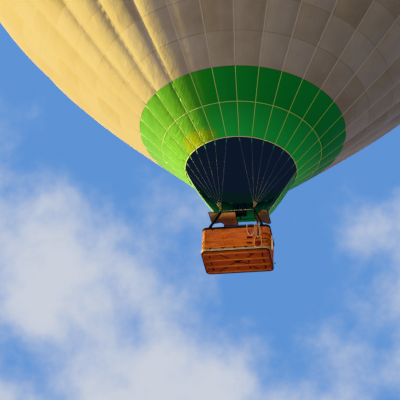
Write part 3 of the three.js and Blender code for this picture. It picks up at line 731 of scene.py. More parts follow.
def insideMaterial():
    # Heat-proof coat on the inner face: dark navy, dull, greener behind the green cloth;
    # a painted glow stands in for the little daylight that comes through
    material, tree, shader, place = newMaterial("navyHeatCoating", "#33466a", 0.85, Specular_IOR_Level=0.1,
                                                Emission_Color="#2a2e35", Emission_Strength=1.0)
    cloudy = addNode(tree, "ShaderNodeTexNoise", {"Vector": place, "Scale": 0.9, "Detail": 3.0})
    tone = addNode(tree, "ShaderNodeMix", {"Factor": cloudy, "A": "#2a3b5c", "B": "#3c5178"},
                   data_type="RGBA")
    split = addNode(tree, "ShaderNodeSeparateXYZ", {0: place})
    green = addNode(tree, "ShaderNodeMapRange", {
        "Value": split.outputs["Z"], "From Min": 6.9 + footZ, "From Max": 5.4 + footZ,
    }, interpolation_type="SMOOTHSTEP")
    base = addNode(tree, "ShaderNodeMix", {"Factor": green, "A": tone, "B": "#1c3a2c"}, data_type="RGBA")
    # painted glow, greener behind the green cloth
    paintedGlowColour = addNode(tree, "ShaderNodeMix", {"Factor": green, "A": "#2a2e35", "B": "#212b29"},
                      data_type="RGBA")
    setInputs(tree, shader, {"Base Color": base, "Emission Color": paintedGlowColour})
    return material


def webbingMaterial(name, colour, dark, rib=13.0, paintedGlow="#000000"):
    # Woven polyester webbing, a little soiled. The ribs across are 2 mm in the real one and drawn
    # at 24 mm, in canvas at 16 and in rope at 13, so that they show. Where it glows, the glow is painted
    # light for the daylight that comes through.
    material, tree, shader, place = newMaterial(name, colour, 0.75, Emission_Color=paintedGlow,
                                                Emission_Strength=1.0)
    ribs = addNode(tree, "ShaderNodeTexWave", {"Vector": place, "Scale": rib}, bands_direction="Z")
    soil = addNode(tree, "ShaderNodeTexNoise", {"Vector": place, "Scale": 6.0, "Detail": 5.0})
    tone = addNode(tree, "ShaderNodeMix", {"Factor": soil, "A": dark, "B": colour}, data_type="RGBA")
    bump = addNode(tree, "ShaderNodeBump", {
        "Height": ribs.outputs["Fac"], "Strength": 0.4, "Distance": 0.004,
    })
    setInputs(tree, shader, {"Base Color": tone, "Normal": bump})
    return material


# yellow patches on the cloth beside the mouth: place, full within, gone beyond, how much
yellowPatchPlaces = [
    (-1.68, -1.68, 4.48, 0.15, 0.62, 0.9),
    (-1.34, -1.99, 4.5, 0.1, 0.58, 0.85),
    (-0.92, -2.17, 4.46, 0.0, 0.5, 0.7),
]
creamCloth = clothMaterial("creamRipstopNylon", "#f3daa2", "#dfc389", "#dcc086")
# its last pair: a painted sunlit tint, and the yellow of the patches beside the mouth
greenCloth = clothMaterial("greenRipstopNylon", "#42b53b", "#3aa534", "#3cab38", ("#5cf05a", "#4cc046"),
                           ("#84d440", "#c8da1c"))
scoopCloth = clothMaterial("greenScoopCloth", "#5cc45c", "#4eb050", "#54b956")
greenLining = liningMaterial()
navyInside = insideMaterial()
# the tapes and the hem glow with painted light, for daylight through the thin webbing
tapeWebbing = webbingMaterial("creamLoadTape", "#f3e0b2", "#e6d2a2", paintedGlow="#4c4634")
lowTapeWebbing = webbingMaterial("paleGreenLoadTape", "#dcec96", "#c8dc82", paintedGlow="#485c1e")
hemWebbing = webbingMaterial("tanMouthHem", "#f4dcb4", "#e4c89c", paintedGlow="#8a7254")
hemInside = webbingMaterial("greenHemLining", "#35604e", "#284a3c")
greenWebbing = webbingMaterial("greenWebbing", "#6fd080", "#54a864")

bandNames = ["green_base", "cream_lower", "cream_middle", "cream_belt", "cream_shoulder", "cream_upper",
             "cream_crown"]
bandEnds = [0.0, envelope["greenEnd"], envelope["lowerEnd"], envelope["middleEnd"], envelope["beltEnd"],
            envelope["shoulderEnd"], envelope["upperEnd"], ventAlong]
for bandName, start, end in zip(bandNames, bandEnds, bandEnds[1:]):
    colour = bandName.split("_")[0]
    cloth = {"green": greenCloth, "cream": creamCloth}[colour]
    ridesOn(envelopeBand(f"cloth_{bandName}", start, end, cloth, navyInside), "balloon",
            f"{colour}_cloth", f"envelope_{bandName}")
print("envelope: seven bands of gored cloth")


# Load tapes and hem

tapes = {"width": 0.038, "lowWidth": 0.03, "thickness": 0.006, "step": 0.35, "ringWidth": 0.03}


def tapesUp(name, along, width, thickness, material):
    # Flat closed ribbons up the meridians, one between every two gores
    middle = clothPoints(along, [0.5], 0.0, pucker=False)[:, 0]
    _, _, lean = meridian(along)
    angle = (0.5 + twistAt(along)) * goreAngle
    half = np.stack([np.cos(angle), np.sin(angle), 0 * angle], -1) * width / 2
    outward = np.stack([np.cos(lean) * np.sin(angle), -np.cos(lean) * np.cos(angle), -np.sin(lean)], -1)
    # it bridges the valley between two gores, so that it never shows on the inside
    share = np.interp(along, envelope["bellyAt"], envelope["belly"])
    lift = (share * envelope["bellyPower"] * width)[:, None]
    outer = np.stack([middle - half, middle + half], 1) + (outward * (lift + thickness))[:, None]
    inner = np.stack([middle - half, middle + half], 1) + (outward * lift)[:, None]
    source = shellPiece(name, outer, inner, False, np.array([0.0, 1.0]), along, [material])
    source.data.polygons.foreach_set("material_index", np.zeros(len(source.data.polygons), dtype=np.int32))
    return treeResult(name, source, repeatRound, {
        "Count": goreCount, "First Angle": 0.0, "Step Angle": goreAngle, "Material": material,
    })


def loadTapes():
    low = np.append(np.arange(0.0, envelope["greenEnd"] - 0.1, tapes["step"]), envelope["greenEnd"])
    high = np.append(np.arange(envelope["greenEnd"], ventAlong - 0.1, tapes["step"]), ventAlong)
    return joinPieces("load_tapes", [
        tapesUp("low_tapes", low, tapes["lowWidth"], tapes["thickness"], lowTapeWebbing),
        tapesUp("high_tapes", high, tapes["width"], tapes["thickness"], tapeWebbing),
    ])


def ringTape(name, along, width, material, lift=0.003, inside=None):
    # A horizontal tape that follows the bellies of the gores
    across = np.arange(goreCount * envelope["columnsPerGore"] + 1) / envelope["columnsPerGore"]
    rows = np.array([along - width / 2, along + width / 2])
    outer = clothPoints(rows, across[:-1], lift)
    inner = clothPoints(rows, across[:-1], -envelope["cloth"] - 0.002 if inside else -0.002)
    return shellPiece(name, outer, inner, True, across, rows, [material, inside or material])


ridesOn(loadTapes(), "balloon", "webbing")
ridesOn(ringTape("seam_tape_green", envelope["panelHeight"], tapes["ringWidth"], lowTapeWebbing),
        "balloon", "webbing")

hem = {
    "tapeWidth": 0.034, "tabLength": 0.19, "tabWidth": 0.042, "tabThickness": 0.008,
    "ropeRadius": 0.01, "ropeDown": 0.014, "tapeEndDown": 0.025,
}
frameCorner = {"halfX": 0.65, "halfY": 0.5, "shackleTop": 2.155}


def cornerOfTape(tape):
    # Seven tapes to a corner, from the near right corner round by the far side
    quarter = tape // 7
    x = frameCorner["halfX"] * (1 if quarter in (0, 1) else -1)
    y = frameCorner["halfY"] * (-1 if quarter in (0, 3) else 1)
    return np.array([x, y, frameCorner["shackleTop"]])


def hemPoint(tape):
    # Where a load tape ends at the mouth, above the foot of the basket
    end = clothPoints(np.array([-hem["tapeEndDown"]]), [tape + 0.5], -0.005, pucker=False)[0, 0]
    return end - (0, 0, footZ)


def alongWire(tape, distance):
    start = hemPoint(tape)
    way = cornerOfTape(tape) - start
    return start + way / np.linalg.norm(way) * distance


def mouthHem():
    parts = [ringTape("mouth_hem", 0.0, hem["tapeWidth"], hemWebbing, inside=hemInside)]
    # the rolled edge under the tape, with a rope in it
    places = np.arange(goreCount * 6) / 6
    edge = clothPoints(np.array([-hem["ropeDown"]]), places, -0.004, pucker=False)[0]
    parts.append(tubesPiece("mouth_roll", [tubeMesh(edge, hem["ropeRadius"], 8, closed=True)], [hemInside]))
    tabs = []
    for tape in range(goreCount):
        start, end = alongWire(tape, -0.02), alongWire(tape, hem["tabLength"])
        angle = (tape + 0.5) * goreAngle
        across = np.array([math.cos(angle), math.sin(angle), 0])
        way = (end - start) / np.linalg.norm(end - start)
        normal = np.cross(across, way)
        points = np.linspace(start, end, 6)
        loop = np.where(np.arange(6) > 3, 0.7, 1.0)[:, None]
        half = across * hem["tabWidth"] / 2 * loop
        thick = normal * hem["tabThickness"] / 2
        outer = up(np.stack([points - half + thick, points + half + thick], 1))
        inner = up(np.stack([points - half - thick, points + half - thick], 1))
        tabs.append(shellPiece(f"tab{tape}", outer, inner, False, np.array([0.0, 1.0]),
                               np.linspace(0, 1, 6), [greenWebbing, greenWebbing]))
    return joinPieces("mouth_hem", parts + tabs)


ridesOn(mouthHem(), "balloon", "webbing", "mouth_hem_and_tabs")
print("tapes: 28 load tapes, seam tape, hem and tabs")

# Crown: ring, tapes over the vent, and the valve's cloth inside them

crown = {
    "spokeWidth": 0.04, "spokeThickness": 0.004, "ringInner": 0.17, "ringOuter": 0.26,
    # how far the tapes and the valve reach out past the vent's edge, and where they end at the middle
    "tapeOverlap": 0.25, "tapeEnd": 0.2, "valveOverlap": 0.35, "valveEnd": 0.3,
    "valveGap": 0.011, "valveThickness": 0.006,
}


def crownTapes():
    along = np.linspace(ventAlong - crown["tapeOverlap"], topAlong - crown["tapeEnd"], 14)
    return tapesUp("crown_tapes", along, crown["spokeWidth"], crown["spokeThickness"], tapeWebbing)


def metalMaterial(name, colour, roughness, scratch=0.15, metallic=1.0, paintedGlow="#000000"):
    # Bare metal, brushed or cast: level scratches, 0.1 mm apart in the real one and drawn at 3 mm.
    # Thin wires get a faint painted glow for the daylight they catch all round.
    material, tree, shader, place = newMaterial(name, colour, roughness, Metallic=metallic,
                                                Emission_Color=paintedGlow, Emission_Strength=1.0)
    brushed = addNode(tree, "ShaderNodeMapping", {"Vector": place, "Scale": (1, 1, 14)})
    grain = addNode(tree, "ShaderNodeTexNoise", {"Vector": brushed, "Scale": 26.0, "Detail": 6.0})
    blotch = addNode(tree, "ShaderNodeTexNoise", {"Vector": place, "Scale": 7.0, "Detail": 3.0})
    mixed = addNode(tree, "ShaderNodeMath", {0: grain, 1: 0.6, 2: blotch}, operation="MULTIPLY_ADD")
    rough = addNode(tree, "ShaderNodeMapRange", {
        "Value": mixed, "From Min": 0.4, "From Max": 1.2,
        "To Min": max(0.05, roughness - scratch), "To Max": roughness + scratch,
    })
    bump = addNode(tree, "ShaderNodeBump", {"Height": grain, "Strength": 0.12, "Distance": 0.002})
    setInputs(tree, shader, {"Roughness": rough, "Normal": bump})
    return material


stainless = metalMaterial("sootedStainless", "#55564f", 0.5)
aluminium = metalMaterial("anodisedAluminium", "#c6c8ca", 0.4)
# the wire's glow is painted light
wireSteel = metalMaterial("coatedSteelWire", "#50565f", 0.6, 0.1, 0.0, paintedGlow="#40444c")


def crownPiece():
    _, ringZ, _ = meridian(np.array([topAlong - crown["ringOuter"]]))
    inner, outer, low = crown["ringInner"], crown["ringOuter"], ringZ[0] + footZ
    profile = [(inner, low), (outer, low), (outer, low + 0.02), (outer - 0.01, low + 0.027),
               (inner + 0.01, low + 0.027), (inner, low + 0.02), (inner, low)]
    ring = tubesPiece("crown_ring", [latheMesh(profile, 56)], [aluminium])
    return joinPieces("crown_ring", [ring, crownTapes()])


def valvePiece():
    along = np.append(np.linspace(ventAlong - crown["valveOverlap"], topAlong - crown["valveEnd"], 16),
                      topAlong - 0.001)
    across = np.arange(goreCount * 4 + 1) / 4
    outer, inner = [], []
    for offset, grid in ((-crown["valveGap"], outer), (-crown["valveGap"] - crown["valveThickness"], inner)):
        for value in along:
            r, z, lean = meridian(np.array([value]))
            out = offset - bellyDepth([value], r)
            # flat between tapes, as the solid is, so that it stays under the vent's edge
            toTape = np.abs((across[:-1] % 1) - 0.5) * goreAngle
            shrink = math.cos(goreAngle / 2) / np.cos(goreAngle / 2 - toTape)
            angle = (across[:-1] + envelope["twist"]) * goreAngle
            grid.append(up(aroundAxis((r + out * np.cos(lean)) * shrink, angle, z - out * np.sin(lean))))
    return shellPiece("valve_cloth", np.array(outer), np.array(inner), True, across, along,
                      [creamCloth, navyInside])


ridesOn(crownPiece(), "balloon", "webbing", "crown_ring_and_tapes")
ridesOn(valvePiece(), "valve", "cream_cloth", "parachute_valve")
print("crown: ring, tapes and parachute valve")

# Flying wires

wires = {
    "radius": 0.0062, "sleeve": 0.0066, "sleeveLength": 0.3, "thimble": 0.016,
    "linkHalfWidth": 0.026, "linkHalfHeight": 0.05, "linkRadius": 0.01,
    "ball": [(0, -0.02), (0.02, -0.02), (0.026, 0.0), (0.02, 0.012), (0, 0.012)],     # radius, height
}
paleSleeve = webbingMaterial("paleSleeve", "#a49c8a", "#8c8474")
linkMetal = metalMaterial("copperyCarabiner", "#a4664c", 0.6, 0.1, 0.0)


def wireSet(name, quarter):
    tubes, choice = [], []
    corner = cornerOfTape(7 * quarter)
    for tape in range(7 * quarter, 7 * quarter + 7):
        start, end = alongWire(tape, hem["tabLength"] - 0.012), corner
        tubes.append(tubeMesh(up(np.linspace(start, end, 3)), wires["radius"], 8))
        choice.append(0)
        way = (end - start) / np.linalg.norm(end - start)
        low = end - way * wires["sleeveLength"]
        tubes.append(tubeMesh(up(np.linspace(low, end - way * 0.03, 3)), wires["sleeve"], 8))
        choice.append(1)
        # thimble where the wire meets its tab
        ring = start + [[wires["thimble"] * math.cos(a), wires["thimble"] * math.sin(a), 0]
                        for a in fullTurn(10)]
        tubes.append(tubeMesh(up(ring), 0.004, 6, closed=True))
        choice.append(0)
    # carabiner: an oval link over the corner socket, with its ball
    link = [[wires["linkHalfWidth"] * math.cos(a), 0, wires["linkHalfHeight"] * math.sin(a)]
            for a in fullTurn(20)]
    tubes.append(tubeMesh(up(np.array(link) + corner + [0, 0, 0.004]), wires["linkRadius"], 8, closed=True))
    tubes.append(latheMesh(wires["ball"], 16, up(corner)))
    choice += [2, 2]
    return tubesPiece(name, tubes, [wireSteel, paleSleeve, linkMetal], choice)


for quarter, cornerName in enumerate(["near_right", "far_right", "far_left", "near_left"]):
    ridesOn(wireSet(f"wires_{cornerName}", quarter), "balloon", "wire", f"flying_wires_{cornerName}")
print("wires: four sets of seven")

# Scoop

scoop = {
    "standOff": 0.016, "firstTape": 7, "gores": 14, "topDrop": 0.038,
    # the lower edge, from the right front corner round the far side to the left front corner
    "foot": [(1.22, -0.32, 2.05), (1.09, 0.2, 2.13), (0.77, 0.6, 2.27), (0, 0.73, 2.368),
             (-0.74, 0.62, 2.28), (-0.85, 0.1, 2.13), (-0.92, -0.47, 2.05)],
    # how far each gore swells, right to left, and how far the left front edge bows out
    "belly": [0.06] * 11 + [0.03, 0.01, 0.0], "bow": {12: 0.01, 13: 0.04, 14: 0.075},
    "fold": 0.02, "foldedGores": 12,
    "thickness": 0.004, "columns": 10, "rows": 36, "hemRadius": 0.012,
    "cut": (7.5, 2.4), "seamStart": 4.11,
}


def scoopTapeLine(gore, share):
    # A point under a load tape, at a share of the way from the scoop's top edge to its foot
    tape = scoop["firstTape"] + gore
    angle = (tape + 0.5) * goreAngle
    outward = np.array([math.sin(angle), -math.cos(angle), 0.0])
    foot = curvePoint(scoop["foot"], gore / scoop["gores"])
    head = hemPoint(tape) + outward * scoop["standOff"]
    topShare = scoop["topDrop"] / (head[2] - foot[2])
    bowed = outward * scoop["bow"].get(gore, 0.0) * math.sin(math.pi * share)
    return head + (foot - head) * (topShare + (1 - topShare) * share) + bowed, outward


def scoopGrid(offset):
    # Gores swell between their tapes, and all but the two by the left front edge crease
    shares = np.linspace(1, 0, scoop["rows"] + 1)
    columns = np.arange(scoop["gores"] * scoop["columns"] + 1) / scoop["columns"]
    grid = np.zeros((len(shares), len(columns), 3))
    for row, share in enumerate(shares):
        lines = [scoopTapeLine(gore, share) for gore in range(scoop["gores"] + 1)]
        swell = math.sin(math.pi * share)
        for column, place in enumerate(columns):
            gore = min(int(place), scoop["gores"] - 1)
            part = place - gore
            (here, outHere), (there, outThere) = lines[gore], lines[gore + 1]
            outward = outHere * (1 - part) + outThere * part
            billow = scoop["belly"][gore] * swell * (1 - (2 * part - 1) ** 2)
            crease = (scoop["fold"] * (gore < scoop["foldedGores"]) * math.sin(math.pi * part) ** 2 * swell
                      * math.sin(9 * (1 - share) + 5 * part + 2.1 * gore))
            middle = here * (1 - part) + there * part
            grid[row, column] = middle + outward * (offset + billow + max(0, crease))
    return up(grid), columns, shares


def scoopPiece():
    outer, columns, shares = scoopGrid(scoop["thickness"])
    inner, _, _ = scoopGrid(0.0)
    seams = scoop["seamStart"] - shares * scoop["cut"][1]
    cloth = shellPiece("scoop_cloth", outer, inner, False, columns, seams, [scoopCloth, greenLining])
    a, b, c, d = outer[:-1, :-1], outer[:-1, 1:], outer[1:, :-1], outer[1:, 1:]
    area = (np.linalg.norm(np.cross(b - a, c - a), axis=-1).sum()
            + np.linalg.norm(np.cross(b - d, c - d), axis=-1).sum()) / 2
    middle = (outer + inner) / 2
    edges = [middle[:, 0], middle[:, -1], middle[0, :]]
    hemPiece = tubesPiece("scoop_hem", [tubeMesh(line, scoop["hemRadius"], 8) for line in edges],
                          [paleHem])
    return cloth, hemPiece, area


paleHem = webbingMaterial("paleHemCord", "#dfe6b0", "#b4c184")
scoopSheet, scoopHem, scoopArea = scoopPiece()
ridesOn(scoopSheet, "balloon", "green_cloth", "scoop")
ridesOn(scoopHem, "balloon", "green_cloth")
print(f"scoop: {scoopArea:.1f} square metres of cloth")

# Burner frame, gimbal and burner

burnerFrame = {
    "height": 2.046, "halfX": 0.65, "halfY": 0.5, "tube": 0.017, "socket": 0.038,
    "socketBottom": 1.99, "socketTop": 2.11, "gimbalHeight": 2.2, "bracket": (0.008, 0.045),
    "lugFrom": 0.16, "lugTo": 0.24, "lugOut": 0.07, "lugHalf": 0.007,
    "nut": [(0, 0), (0.024, 0), (0.024, 0.004), (0.016, 0.006), (0.016, 0.014), (0, 0.014)],
    # a strap hangs from the near left corner: x and y from it, height
    "strap": [(0, 0, 2.0), (0.01, 0.01, 1.9), (0.045, 0.02, 1.76)],
}


def framePiece():
    tubes, covers = [], []
    height, halfX, halfY = burnerFrame["height"], burnerFrame["halfX"], burnerFrame["halfY"]
    thick, wide = burnerFrame["bracket"]
    for side in (-1, 1):
        for start, end in (((-halfX, side * halfY, height), (halfX, side * halfY, height)),
                           ((side * halfX, -halfY, height), (side * halfX, halfY, height))):
            covers.append(tubeMesh(up(np.linspace(start, end, 9)), burnerFrame["tube"], 24))
        tubes.append(boxMesh(up((side * halfX - thick, -wide, height - 0.02)),
                             up((side * halfX + thick, wide, burnerFrame["gimbalHeight"] + wide)), 0.004))
        y0, y1 = sorted((side * halfY, side * (halfY + burnerFrame["lugOut"])))
        tubes.append(boxMesh(up((burnerFrame["lugFrom"], y0, height - burnerFrame["lugHalf"])),
                             up((burnerFrame["lugTo"], y1, height + burnerFrame["lugHalf"])), 0.003))
        # washer and nut on each pivot
        for gap in (-1, 1):
            points, quads = latheMesh(burnerFrame["nut"], 24)
            turned = points @ np.array([[0, 0, -1], [0, 1, 0], [1, 0, 0]]) * [gap, 1, 1]
            place = up((side * halfX + gap * thick, 0, burnerFrame["gimbalHeight"]))
            tubes.append((turned + place, quads if gap == 1 else [face[::-1] for face in quads]))
        # corner sockets, grooved near both ends
        for end in (-1, 1):
            low, high, r = burnerFrame["socketBottom"], burnerFrame["socketTop"], burnerFrame["socket"]
            profile = [(0, low), (r - 0.004, low), (r, low + 0.004), (r, low + 0.03),
                       (r - 0.004, low + 0.034), (r - 0.004, high - 0.034), (r, high - 0.03),
                       (r, high - 0.006), (r - 0.006, high), (0, high)]
            tubes.append(latheMesh(profile, 28, (side * halfX, end * halfY, footZ)))
    covers.append(tubeMesh(up(np.array(burnerFrame["strap"]) - (halfX, halfY, 0)), 0.014, 10))
    return tubesPiece("frame_tubes", tubes + covers, [stainless, tubeCover],
                      [0] * len(tubes) + [1] * len(covers))


tubeCover = webbingMaterial("paleTubeCover", "#939c8e", "#788075")
ridesOn(framePiece(), "balloon", "frame_steel", "burner_frame")

gimbal = {
    "halfX": 0.59, "halfY": 0.35, "corner": 0.05, "bar": 0.03, "pin": 0.012, "pinEnd": 0.664,
    "boss": 0.024, "bossHalf": 0.018,
}


def gimbalPiece():
    # A ring of round bar with round corners, a pin out to each bracket and a boss for each burner pivot
    centre = burnerFrame["gimbalHeight"]
    inset, corner = gimbal["bar"] / 2, gimbal["corner"]
    halfX, halfY = gimbal["halfX"] - inset, gimbal["halfY"] - inset
    path = []
    for cx, cy, first in ((halfX - corner, -halfY + corner, -90), (halfX - corner, halfY - corner, 0),
                          (-halfX + corner, halfY - corner, 90), (-halfX + corner, -halfY + corner, 180)):
        for step in range(7):
            a = math.radians(first + 15 * step)
            path.append((cx + corner * math.cos(a), cy + corner * math.sin(a), centre))
    tubes = [tubeMesh(up(path), inset, 20, closed=True)]
    for side in (-1, 1):
        pin = np.linspace((side * (halfX - 0.01), 0, centre), (side * gimbal["pinEnd"], 0, centre), 4)
        tubes.append(tubeMesh(up(pin), gimbal["pin"], 20))
        boss = np.linspace((0, side * (halfY - gimbal["bossHalf"]), centre),
                           (0, side * (halfY + gimbal["bossHalf"]), centre), 3)
        tubes.append(tubeMesh(up(boss), gimbal["boss"], 24))
    return tubesPiece("gimbal_frame", tubes, [stainless])


ridesOn(gimbalPiece(), "gimbal", "frame_steel", "gimbal_ring")

burner = {
    "canX": 0.15, "canOuter": 0.125, "canInner": 0.119, "canFoot": 2.2204, "canHeight": 0.44,
    "coilTurns": 9, "coilRadius": 0.098, "coilTube": 0.0075, "ridges": (0.12, 0.26),
    "jetRing": 0.06, "pivot": (0.31, 0.354),
    # boxes of the body: half length and width, bottom and top from the gimbal's height, edge, material
    "boxes": [(0.03, 0.318, -0.02, 0.02, 0.005, 0), (0.285, 0.135, -0.01, 0.02, 0.012, 0),
              (0.23, 0.06, -0.075, -0.005, 0.014, 2)],
    # blast valve under each can: its turned body as radius and height, its lever as y and height
    "valve": [(0, 2.118), (0.03, 2.118), (0.034, 2.124), (0.034, 2.15), (0, 2.15)], "valveY": -0.045,
    "lever": [(-0.05, 2.135), (-0.09, 2.13), (-0.125, 2.15), (-0.13, 2.165)],
}
tintedSteel = metalMaterial("heatBlackenedSteel", "#27322d", 0.6, 0.15, 0.5)
brass = metalMaterial("castBrass", "#6a5430", 0.5)
blackValve = metalMaterial("blackEnamelledValve", "#1b1c1f", 0.4, 0.1, 0.0)


def burnerPieces():
    # The body with its valves, and two cans with a coil and a jet ring in each
    centre = burnerFrame["gimbalHeight"]
    tubes, choice = [], []

    def take(mesh, material):
        tubes.append(mesh)
        choice.append(material)

    for halfX, halfY, low, high, edge, material in burner["boxes"]:
        take(boxMesh(up((-halfX, -halfY, centre + low)), up((halfX, halfY, centre + high)), edge), material)
    for side in (-1, 1):
        pivot = np.linspace(*((0, side * y, centre) for y in burner["pivot"]), 3)
        take(tubeMesh(up(pivot), gimbal["pin"], 20), 0)
        x = side * burner["canX"]
        take(latheMesh(burner["valve"], 20, (x, burner["valveY"], footZ)), 1)
        take(tubeMesh(up([(x, y, z) for y, z in burner["lever"]]), 0.006, 10), 2)
    block = tubesPiece("burner_body", tubes, [stainless, brass, blackValve], choice)
    cans = []
    for name, side in (("left", -1), ("right", 1)):
        x, low, top = side * burner["canX"], burner["canFoot"], burner["canFoot"] + burner["canHeight"]
        outer, inner = burner["canOuter"], burner["canInner"]
        profile = [(0, low), (outer - 0.006, low), (outer, low + 0.006)]
        for ridge in burner["ridges"]:
            profile += [(outer, low + ridge - 0.012), (outer - 0.004, low + ridge),
                        (outer, low + ridge + 0.012)]
        profile += [(outer, top - 0.006), (outer - 0.002, top), (inner, top), (inner, low + 0.014),
                    (0, low + 0.014)]
        parts = [latheMesh(profile, 48, (x, 0, footZ))]
        turns = np.linspace(0, 2 * math.pi * burner["coilTurns"], burner["coilTurns"] * 28)
        rise = np.linspace(low + 0.04, top - 0.03, len(turns))
        coil = np.stack([x + burner["coilRadius"] * np.cos(turns), burner["coilRadius"] * np.sin(turns),
                         rise], -1)
        parts.append(tubeMesh(up(coil), burner["coilTube"], 8))
        ring = [(x + burner["jetRing"] * math.cos(a), burner["jetRing"] * math.sin(a), low + 0.05)
                for a in fullTurn(24)]
        parts.append(tubeMesh(up(ring), 0.008, 8, closed=True))
        cans.append(tubesPiece(f"burner_{name}", parts, [tintedSteel, brass], [0, 0, 1]))
    return block, cans


burnerBody, burnerCans = burnerPieces()
ridesOn(burnerBody, "burner", "frame_steel", "burner_block")
ridesOn(burnerCans[0], "burner", "burner_can", "burner_can_left")
ridesOn(burnerCans[1], "burner", "burner_can", "burner_can_right")
print("burner: frame, gimbal, block and cans")

# Heat shields: hide sheets with a dark bound edge

shields = {
    "top": 2.0256, "thickness": 0.007, "binding": 0.012, "grid": 0.03, "curveSteps": 8,
    "sag": 0.018, "sagFrom": 0.3,             # how far the middle hangs, and how far in from the edge
    # corner points; a row of four is a curve, past its control point to its end
    "left": [(-1.095, -0.512), (-0.93, -0.48), (-0.85, -0.43), (-0.1, -0.43), (-0.102, 0.445), (-0.6, 0.43),
             (-0.66, 0.215, -0.8, 0.205), (-0.95, 0.25), (-1.105, 0.24), (-1.132, -0.48),
             (-1.135, -0.52, -1.095, -0.512)],
    "right": [(0.632, -0.09), (0.72, -0.18), (0.8, -0.31), (0.9, -0.45, 1.0, -0.47),
              (1.15, -0.49, 1.16, -0.29), (1.18, 0.38), (1.175, 0.5, 1.06, 0.475), (0.835, 0.319),
              (0.7, 0.13), (0.632, 0.09)],
    # the left sheet's outer hide is greyer, the right sheet greyer and darker: x of its start, x where
    # it is full, colour
    "hides": [(-0.76, -0.82, "#ae9470"), (0.2, 0.25, "#8c7d6a")],
}


def shieldOutline(rows):
    line = []
    for row in rows:
        if len(row) == 2:
            line.append(row)
            continue
        start, control, end = np.array(line[-1]), np.array(row[:2]), np.array(row[2:])
        for t in np.linspace(0, 1, shields["curveSteps"] + 1)[1:]:
            line.append(tuple((1 - t) ** 2 * start + 2 * t * (1 - t) * control + t * t * end))
    if np.allclose(line[0], line[-1]):
        line.pop()
    return line


def leatherMaterial(name, colour, dark, roughness, grain=90.0, others=()):
    # Oiled hide: pebbled grain, darker in the creases, paler where it is rubbed. A pebble is 1 mm
    # in real hide and drawn at 11 mm or more. Others take over along X.
    material, tree, shader, place = newMaterial(name, colour, roughness)
    pebble = addNode(tree, "ShaderNodeTexVoronoi", {"Vector": place, "Scale": grain})
    blotch = addNode(tree, "ShaderNodeTexNoise", {
        "Vector": place, "Scale": 5.0, "Detail": 6.0, "Roughness": 0.6,
    })
    tone = addNode(tree, "ShaderNodeMapRange", {"Value": blotch, "From Min": 0.3, "From Max": 0.7})
    base = addNode(tree, "ShaderNodeMix", {"Factor": tone, "A": dark, "B": colour}, data_type="RGBA")
    for begins, full, other in others:
        x = addNode(tree, "ShaderNodeSeparateXYZ", {0: place}).outputs["X"]
        share = addNode(tree, "ShaderNodeMapRange", {"Value": x, "From Min": begins, "From Max": full})
        base = addNode(tree, "ShaderNodeMix", {"Factor": share, "A": base, "B": other}, data_type="RGBA")
    bump = addNode(tree, "ShaderNodeBump", {"Height": pebble, "Strength": 0.35, "Distance": 0.004})
    rough = addNode(tree, "ShaderNodeMapRange", {
        "Value": blotch, "To Min": roughness - 0.12, "To Max": roughness + 0.12,
    })
    setInputs(tree, shader, {"Base Color": base, "Normal": bump, "Roughness": rough})
    return material


brownHide = leatherMaterial("brownHide", "#dcaa78", "#bc8a60", 0.7, others=shields["hides"])
shieldBinding = leatherMaterial("brownShieldBinding", "#5c4030", "#483026", 0.6)
darkHide = leatherMaterial("darkPaddedHide", "#2a211e", "#171211", 0.8)


def shieldPiece(name, outline):
    # A fine net over the outline, sagging in the middle, thickened both ways
    work = bmesh.new()
    work.faces.new([work.verts.new((x, y, 0)) for x, y in outline])
    bmesh.ops.triangulate(work, faces=work.faces[:])
    for _ in range(4):
        coarse = [edge for edge in work.edges if edge.calc_length() > shields["grid"] * 2]
        bmesh.ops.subdivide_edges(work, edges=coarse, cuts=1, use_grid_fill=False)
        bmesh.ops.triangulate(work, faces=[face for face in work.faces if len(face.verts) > 4])
    a = np.array(outline)
    b = np.roll(a, -1, axis=0)
    for vertex in work.verts:
        here = np.array(vertex.co[:2])
        share = np.clip(((here - a) * (b - a)).sum(1) / ((b - a) ** 2).sum(1), 0, 1)
        toEdge = np.linalg.norm(a + share[:, None] * (b - a) - here, axis=1).min()
        sag = shields["sag"] * min(1, toEdge / shields["sagFrom"]) ** 0.7
        vertex.co.z = shields["top"] + footZ - shields["thickness"] - sag
    mesh = bpy.data.meshes.new(name)
    work.to_mesh(mesh)
    work.free()
    mesh.materials.append(brownHide)
    piece = addObject(name, mesh)
    solid = piece.modifiers.new("thickness", "SOLIDIFY")
    solid.thickness = shields["thickness"]
    solid.offset = 0
    graph = bpy.context.evaluated_depsgraph_get()
    piece.data = bpy.data.meshes.new_from_object(piece.evaluated_get(graph), depsgraph=graph)
    piece.modifiers.clear()
    edge = up([(x, y, shields["top"] - shields["thickness"]) for x, y in outline])
    return piece, tubesPiece(f"{name}_binding", [tubeMesh(edge, shields["binding"], 10, closed=True)],
                             [shieldBinding])


for sideName in ("left", "right"):
    outline = shieldOutline(shields[sideName])
    shield, binding = shieldPiece(f"shield_{sideName}", outline)
    ridesOn(binding, "balloon", "shield")
    ridesOn(shield, "balloon", "shield", f"heat_shield_{sideName}")
    outline = np.array(outline)
print("shields: two hide sheets")

# Posts in padded sleeves

posts = {
    "footX": 1.03, "footY": 0.712, "radius": 0.053, "top": 1.9896, "foot": 1.1004, "rings": 26,
    "strapsAt": (0.16, 0.5, 0.84), "strapHalf": 0.012,       # shares of the post's length
}


